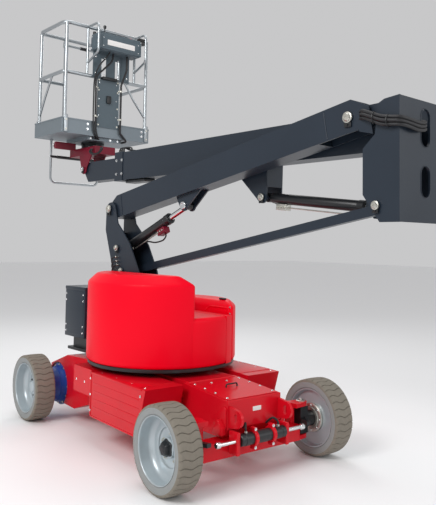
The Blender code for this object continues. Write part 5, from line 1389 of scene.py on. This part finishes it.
def build_controls():
    """A moulded console: rounded case, raised lid, blank plate, stick, stop button, switches and knobs."""
    low, high = CONSOLE_LOW, CONSOLE_HIGH
    case = block(low, (high[0], high[1], 3.662), 0.016, 0.010, "Z", 4)
    piece(
        "control_console", moved(case, from_turntable), "platform", CONTROL_GREY,
        stands_for=("platform_control_box",)
    )
    lid = together(
        block(
            (low[0] + 0.004, low[1] + 0.004, 3.655), (high[0] - 0.004, high[1] - 0.004, 3.6795), 0.018,
            0.007, "Z", 4
        ),
        block(
            (high[0] - 0.003, low[1] + 0.03, 3.53), (high[0] + 0.003, high[1] - 0.03, 3.635), 0.012,
            0.002, "X"
        ),
    )
    piece("control_console_lid", moved(lid, from_turntable), "platform", CONTROL_GREY)
    plate = block((high[0] + 0.0032, 0.17, 3.556), (high[0] + 0.0048, 0.50, 3.610), 0.006, 0.0006, "X")
    piece("control_blank_plate", moved(plate, from_turntable), "platform", PLATE_WHITE)
    screws = [(high[0] + 0.0028, y, z) for y in (0.125, 0.545) for z in (3.54, 3.625)]
    piece(
        "control_screws", repeated(dome_screw(0.005), from_turntable(screws), (1, 0, 0)), "platform",
        BRIGHT
    )
    side_bolts = [(x, 0.0795, z) for x in (-1.395, -1.265) for z in (3.535, 3.645)]
    piece(
        "control_side_bolts", repeated(hex_bolt(0.0055), from_turntable(side_bolts), (0, -1, 0)),
        "platform", BRIGHT
    )
    boot = spun(
        [
            (0, 0), (0, 0.030), (0.006, 0.028), (0.010, 0.022), (0.014, 0.024), (0.018, 0.018),
            (0.022, 0.019), (0.028, 0.010), (0.028, 0)
        ],
        (-1.33, 0.19, 3.6794), around=32
    )
    stick = spun(
        [
            (0, 0), (0, 0.006), (0.040, 0.006), (0.044, 0.014), (0.062, 0.017), (0.072, 0.014),
            (0.077, 0.006), (0.077, 0)
        ],
        (-1.33, 0.19, 3.705), around=28
    )
    toggles = [
        spun(
            [(0, 0), (0, 0.009), (0.005, 0.008), (0.006, 0.003), (0.022, 0.004), (0.025, 0)],
            (x, y, 3.6794), around=16
        )
        for x in (-1.37, -1.31)
        for y in (0.28, 0.33, 0.38)
    ]
    knob = spun(
        [(0, 0), (0, 0.016), (0.014, 0.018), (0.026, 0.015), (0.030, 0)], (-1.38, 0.100, 3.6794),
        around=28, lobes=6, swell=0.06
    )
    piece(
        "control_levers", moved(together(boot, stick, knob, *toggles), from_turntable), "platform",
        BLACK_STEEL
    )
    stop = spun(
        [
            (0, 0), (0, 0.013), (0.012, 0.013), (0.014, 0.022), (0.022, 0.022), (0.027, 0.016),
            (0.029, 0)
        ],
        (-1.33, 0.50, 3.6794), around=32
    )
    piece("stop_button", moved(stop, from_turntable), "platform", STOP_RED)


def build_support():
    """Edged plates, bolt rows, a latch, the main hose and the two thick hoses beside the plate."""
    edged("control_box_bracket", CONTROL_GREY, 0.0015)
    edged("support_plate", CONTROL_GREY, 0.0015)
    heads = [(-1.3912, y, z) for y in (0.175, 0.40) for z in (2.76, 2.95, 3.12, 3.225)]
    piece("support_bolts", repeated(hex_bolt(0.0065), from_turntable(heads), (1, 0, 0)), "platform", ZINC)
    heads = [(-1.3942, y, z) for y in (0.13, 0.24, 0.40, 0.51) for z in (3.29, 3.46)]
    piece(
        "bracket_plate_bolts", repeated(hex_bolt(0.0065), from_turntable(heads), (1, 0, 0)), "platform",
        BRIGHT
    )
    latch = together(
        block((-1.3915, 0.265, 2.99), (-1.372, 0.315, 3.07), 0.008, 0.004, "X"),
        block((-1.3915, 0.20, 3.232), (-1.362, 0.38, 3.262), 0.008, 0.006, "X"),
    )
    piece("support_latch", moved(latch, from_turntable), "platform", BLACK_STEEL)
    main = bent(
        [
            (-1.32, 0.46, 3.503), (-1.32, 0.46, 3.355), (-1.38, 0.435, 3.205), (-1.38, 0.435, 2.696),
            (-1.38, 0.52, 2.616), (-1.48, 0.52, 2.616)
        ],
        0.032, 6
    )
    path = []
    for a, b in zip(main, main[1:]):
        count = max(1, int(np.linalg.norm(b - a) / 0.0055))
        path += [a + (b - a) * k / count for k in range(count)]
    path = np.array([*path, main[-1]])
    piece(
        "platform_main_hose",
        moved(tube(path, 0.0108, 12, ripple=0.05, ripples=len(path) // 3), from_turntable), "platform",
        HOSE, angle=60, stands_for=("platform_hose",)
    )
    near = curve_through(
        [
            (-1.33, 0.30, 3.506), (-1.33, 0.28, 3.42), (-1.345, 0.20, 3.33), (-1.372, 0.135, 3.24),
            (-1.378, 0.133, 3.05), (-1.378, 0.135, 2.86), (-1.378, 0.14, 2.72), (-1.385, 0.165, 2.635),
            (-1.43, 0.20, 2.622), (-1.47, 0.24, 2.618)
        ],
        9
    )
    second = curve_through(
        [
            (-1.30, 0.24, 3.506), (-1.31, 0.20, 3.44), (-1.33, 0.13, 3.34), (-1.375, 0.112, 3.22),
            (-1.381, 0.110, 3.00), (-1.381, 0.112, 2.80), (-1.385, 0.125, 2.68), (-1.41, 0.16, 2.625),
            (-1.47, 0.20, 2.620)
        ],
        9
    )
    piece(
        "platform_side_hoses",
        moved(together(tube(near, 0.0100, 12), tube(second, 0.0075, 12)), from_turntable), "platform",
        HOSE, angle=60
    )
    clips = []
    for y, r, z in (
        (0.435, 0.0135, 3.14), (0.435, 0.0135, 2.84), (0.134, 0.0125, 3.14), (0.134, 0.0125, 2.84)
    ):
        clips.append(
            spun(
                [(-0.008, r - 0.003), (-0.008, r), (0.008, r), (0.008, r - 0.003)],
                (-1.38 if y > 0.3 else -1.378, y, z), around=20
            )
        )
        inner, outer = sorted((y, y - 0.03 if y > 0.3 else y + 0.035))
        clips.append(block((-1.3915, inner, z - 0.008), (-1.3875, outer, z + 0.008), 0.003, 0.001, "X"))
    piece("hose_clips", moved(together(*clips), from_turntable), "platform", ZINC)


def build_guard_and_bar():
    """The foot guard below the entrance with its rubber bar, and the raised bar at the entrance."""
    legs = bent(
        [
            (-1.956, -0.05, 2.6355), (-1.956, -0.05, 2.182), (-1.956, 0.52, 2.182),
            (-1.956, 0.52, 2.6355)
        ],
        0.06
    )
    parts = [tube(legs, 0.012, 18)]
    for y in (-0.05, 0.52):
        parts.append(
            spun(
                [(0, 0), (0, 0.020), (0.004, 0.0205), (0.006, 0.017), (0.006, 0)], (-1.956, y, 2.6295),
                around=24
            )
        )
    piece(
        "foot_guard_tube", moved(together(*parts), from_turntable), "platform", RAIL_STEEL,
        stands_for=("foot_guard",)
    )
    bar = together(
        rod((-1.956, -0.062, 2.46), (-1.956, 0.532, 2.46), 0.0145, 20),
        rod((-1.956, 0.02, 2.46), (-1.956, 0.45, 2.46), 0.0175, 24, 0.004)
    )
    piece("foot_guard_bar", moved(bar, from_turntable), "platform", BLACK_STEEL)
    x, low_y, high_y, z = BACK, 0.0915, 0.5285, 3.693
    bar = [rod((x, low_y, z), (x, high_y, z), 0.014, 24)]
    for y in ENTRY_POSTS:
        collar = [
            (-0.028, 0.0195), (-0.028, 0.0245), (-0.025, 0.026), (0.025, 0.026), (0.028, 0.0245),
            (0.028, 0.0195)
        ]
        bar.append(spun(collar, (x, y, z), around=32))
    piece(
        "entry_bar_tube", moved(together(*bar), from_turntable), "entry_bar", RAIL_STEEL,
        stands_for=("entry_bar",)
    )
    grip = [(-0.045, 0.0142), (-0.042, 0.018), (0.042, 0.018), (0.045, 0.0142)]
    piece(
        "entry_bar_grip", moved(spun(grip, (x, 0.31, z), (0, 1, 0), 28), from_turntable), "entry_bar",
        BLACK_STEEL
    )
    for name, y, way in (("foot_guard_nut", -0.062, -1), ("foot_guard_nut_far", 0.532, 1)):
        nut = repeated(hex_bolt(0.0095), from_turntable([(-1.956, y, 2.46)]), (0, way, 0))
        piece(name, nut, "platform", BRIGHT)


build_bracket()
build_rails()
build_floor()
build_controls()
build_support()
build_guard_and_bar()


# ---------------------------------------------------------------- floor, light and camera
def lamp(name, place, aim, size, power, colour=(1.0, 1.0, 1.0)):
    """A rectangular soft light that faces the aim."""
    data = bpy.data.lights.new(name, "AREA")
    data.shape = "RECTANGLE"
    data.size, data.size_y = size
    data.energy = power
    data.color = colour
    made = bpy.data.objects.new(name, data)
    bpy.context.scene.collection.objects.link(made)
    made.location = place
    made.rotation_euler = (Vector(aim) - Vector(place)).to_track_quat("-Z", "Y").to_euler()


lamp("key", (2.2, -6.0, 5.6), (0.0, 0.0, 1.4), (3.2, 2.6), 300)
lamp("fill", (6.0, 3.0, 3.2), (0.4, 0.0, 1.6), (3.0, 3.0), 70, (0.96, 0.98, 1.0))
lamp("back", (-5.0, 3.0, 5.5), (-0.6, 0.0, 2.2), (3.0, 3.0), 90)
lamp("overhead", (0.0, 0.0, 8.0), (0.0, 0.0, 0.0), (5.0, 4.0), 110)

world = bpy.data.worlds.new("studio")
world.use_nodes = True
backdrop = world.node_tree.nodes["Background"]
backdrop.inputs["Color"].default_value = (0.93, 0.93, 0.94, 1.0)
backdrop.inputs["Strength"].default_value = 0.62
bpy.context.scene.world = world

floor_mesh = bpy.data.meshes.new("studio_floor")
floor_mesh.from_pydata([(-40, -40, 0), (40, -40, 0), (40, 40, 0), (-40, 40, 0)], [], [(0, 1, 2, 3)])
floor_paint = bpy.data.materials.new("studio_floor")
floor_paint.use_nodes = True
floor_shader = floor_paint.node_tree.nodes["Principled BSDF"]
floor_shader.inputs["Base Color"].default_value = (0.90, 0.90, 0.905, 1.0)
floor_shader.inputs["Roughness"].default_value = 0.75
floor_mesh.materials.append(floor_paint)
studio_floor = bpy.data.objects.new("studio_floor", floor_mesh)
bpy.context.scene.collection.objects.link(studio_floor)

look = np.array([-0.78685, 0.61432, 0.05900])
look /= np.linalg.norm(look)
across = np.cross(look, [0.0, 0.0, 1.0])
across /= np.linalg.norm(across)
over = np.cross(across, look)
roll = radians(0.90)
right = across * cos(roll) + over * sin(roll)
above = over * cos(roll) - across * sin(roll)
lens = bpy.data.cameras.new("camera")
lens.sensor_width = 36.0
lens.lens = 46.57
lens.shift_y = -0.0954
lens.clip_end = 200.0
camera = bpy.data.objects.new("camera", lens)
bpy.context.scene.collection.objects.link(camera)
stand = np.eye(4)
stand[:3, 0], stand[:3, 1], stand[:3, 2], stand[:3, 3] = right, above, -look, (4.4381, -3.0125, 1.5682)
camera.matrix_world = Matrix(stand.tolist())
bpy.context.scene.camera = camera
bpy.context.scene.view_settings.view_transform = "Standard"

bpy.context.view_layer.update()
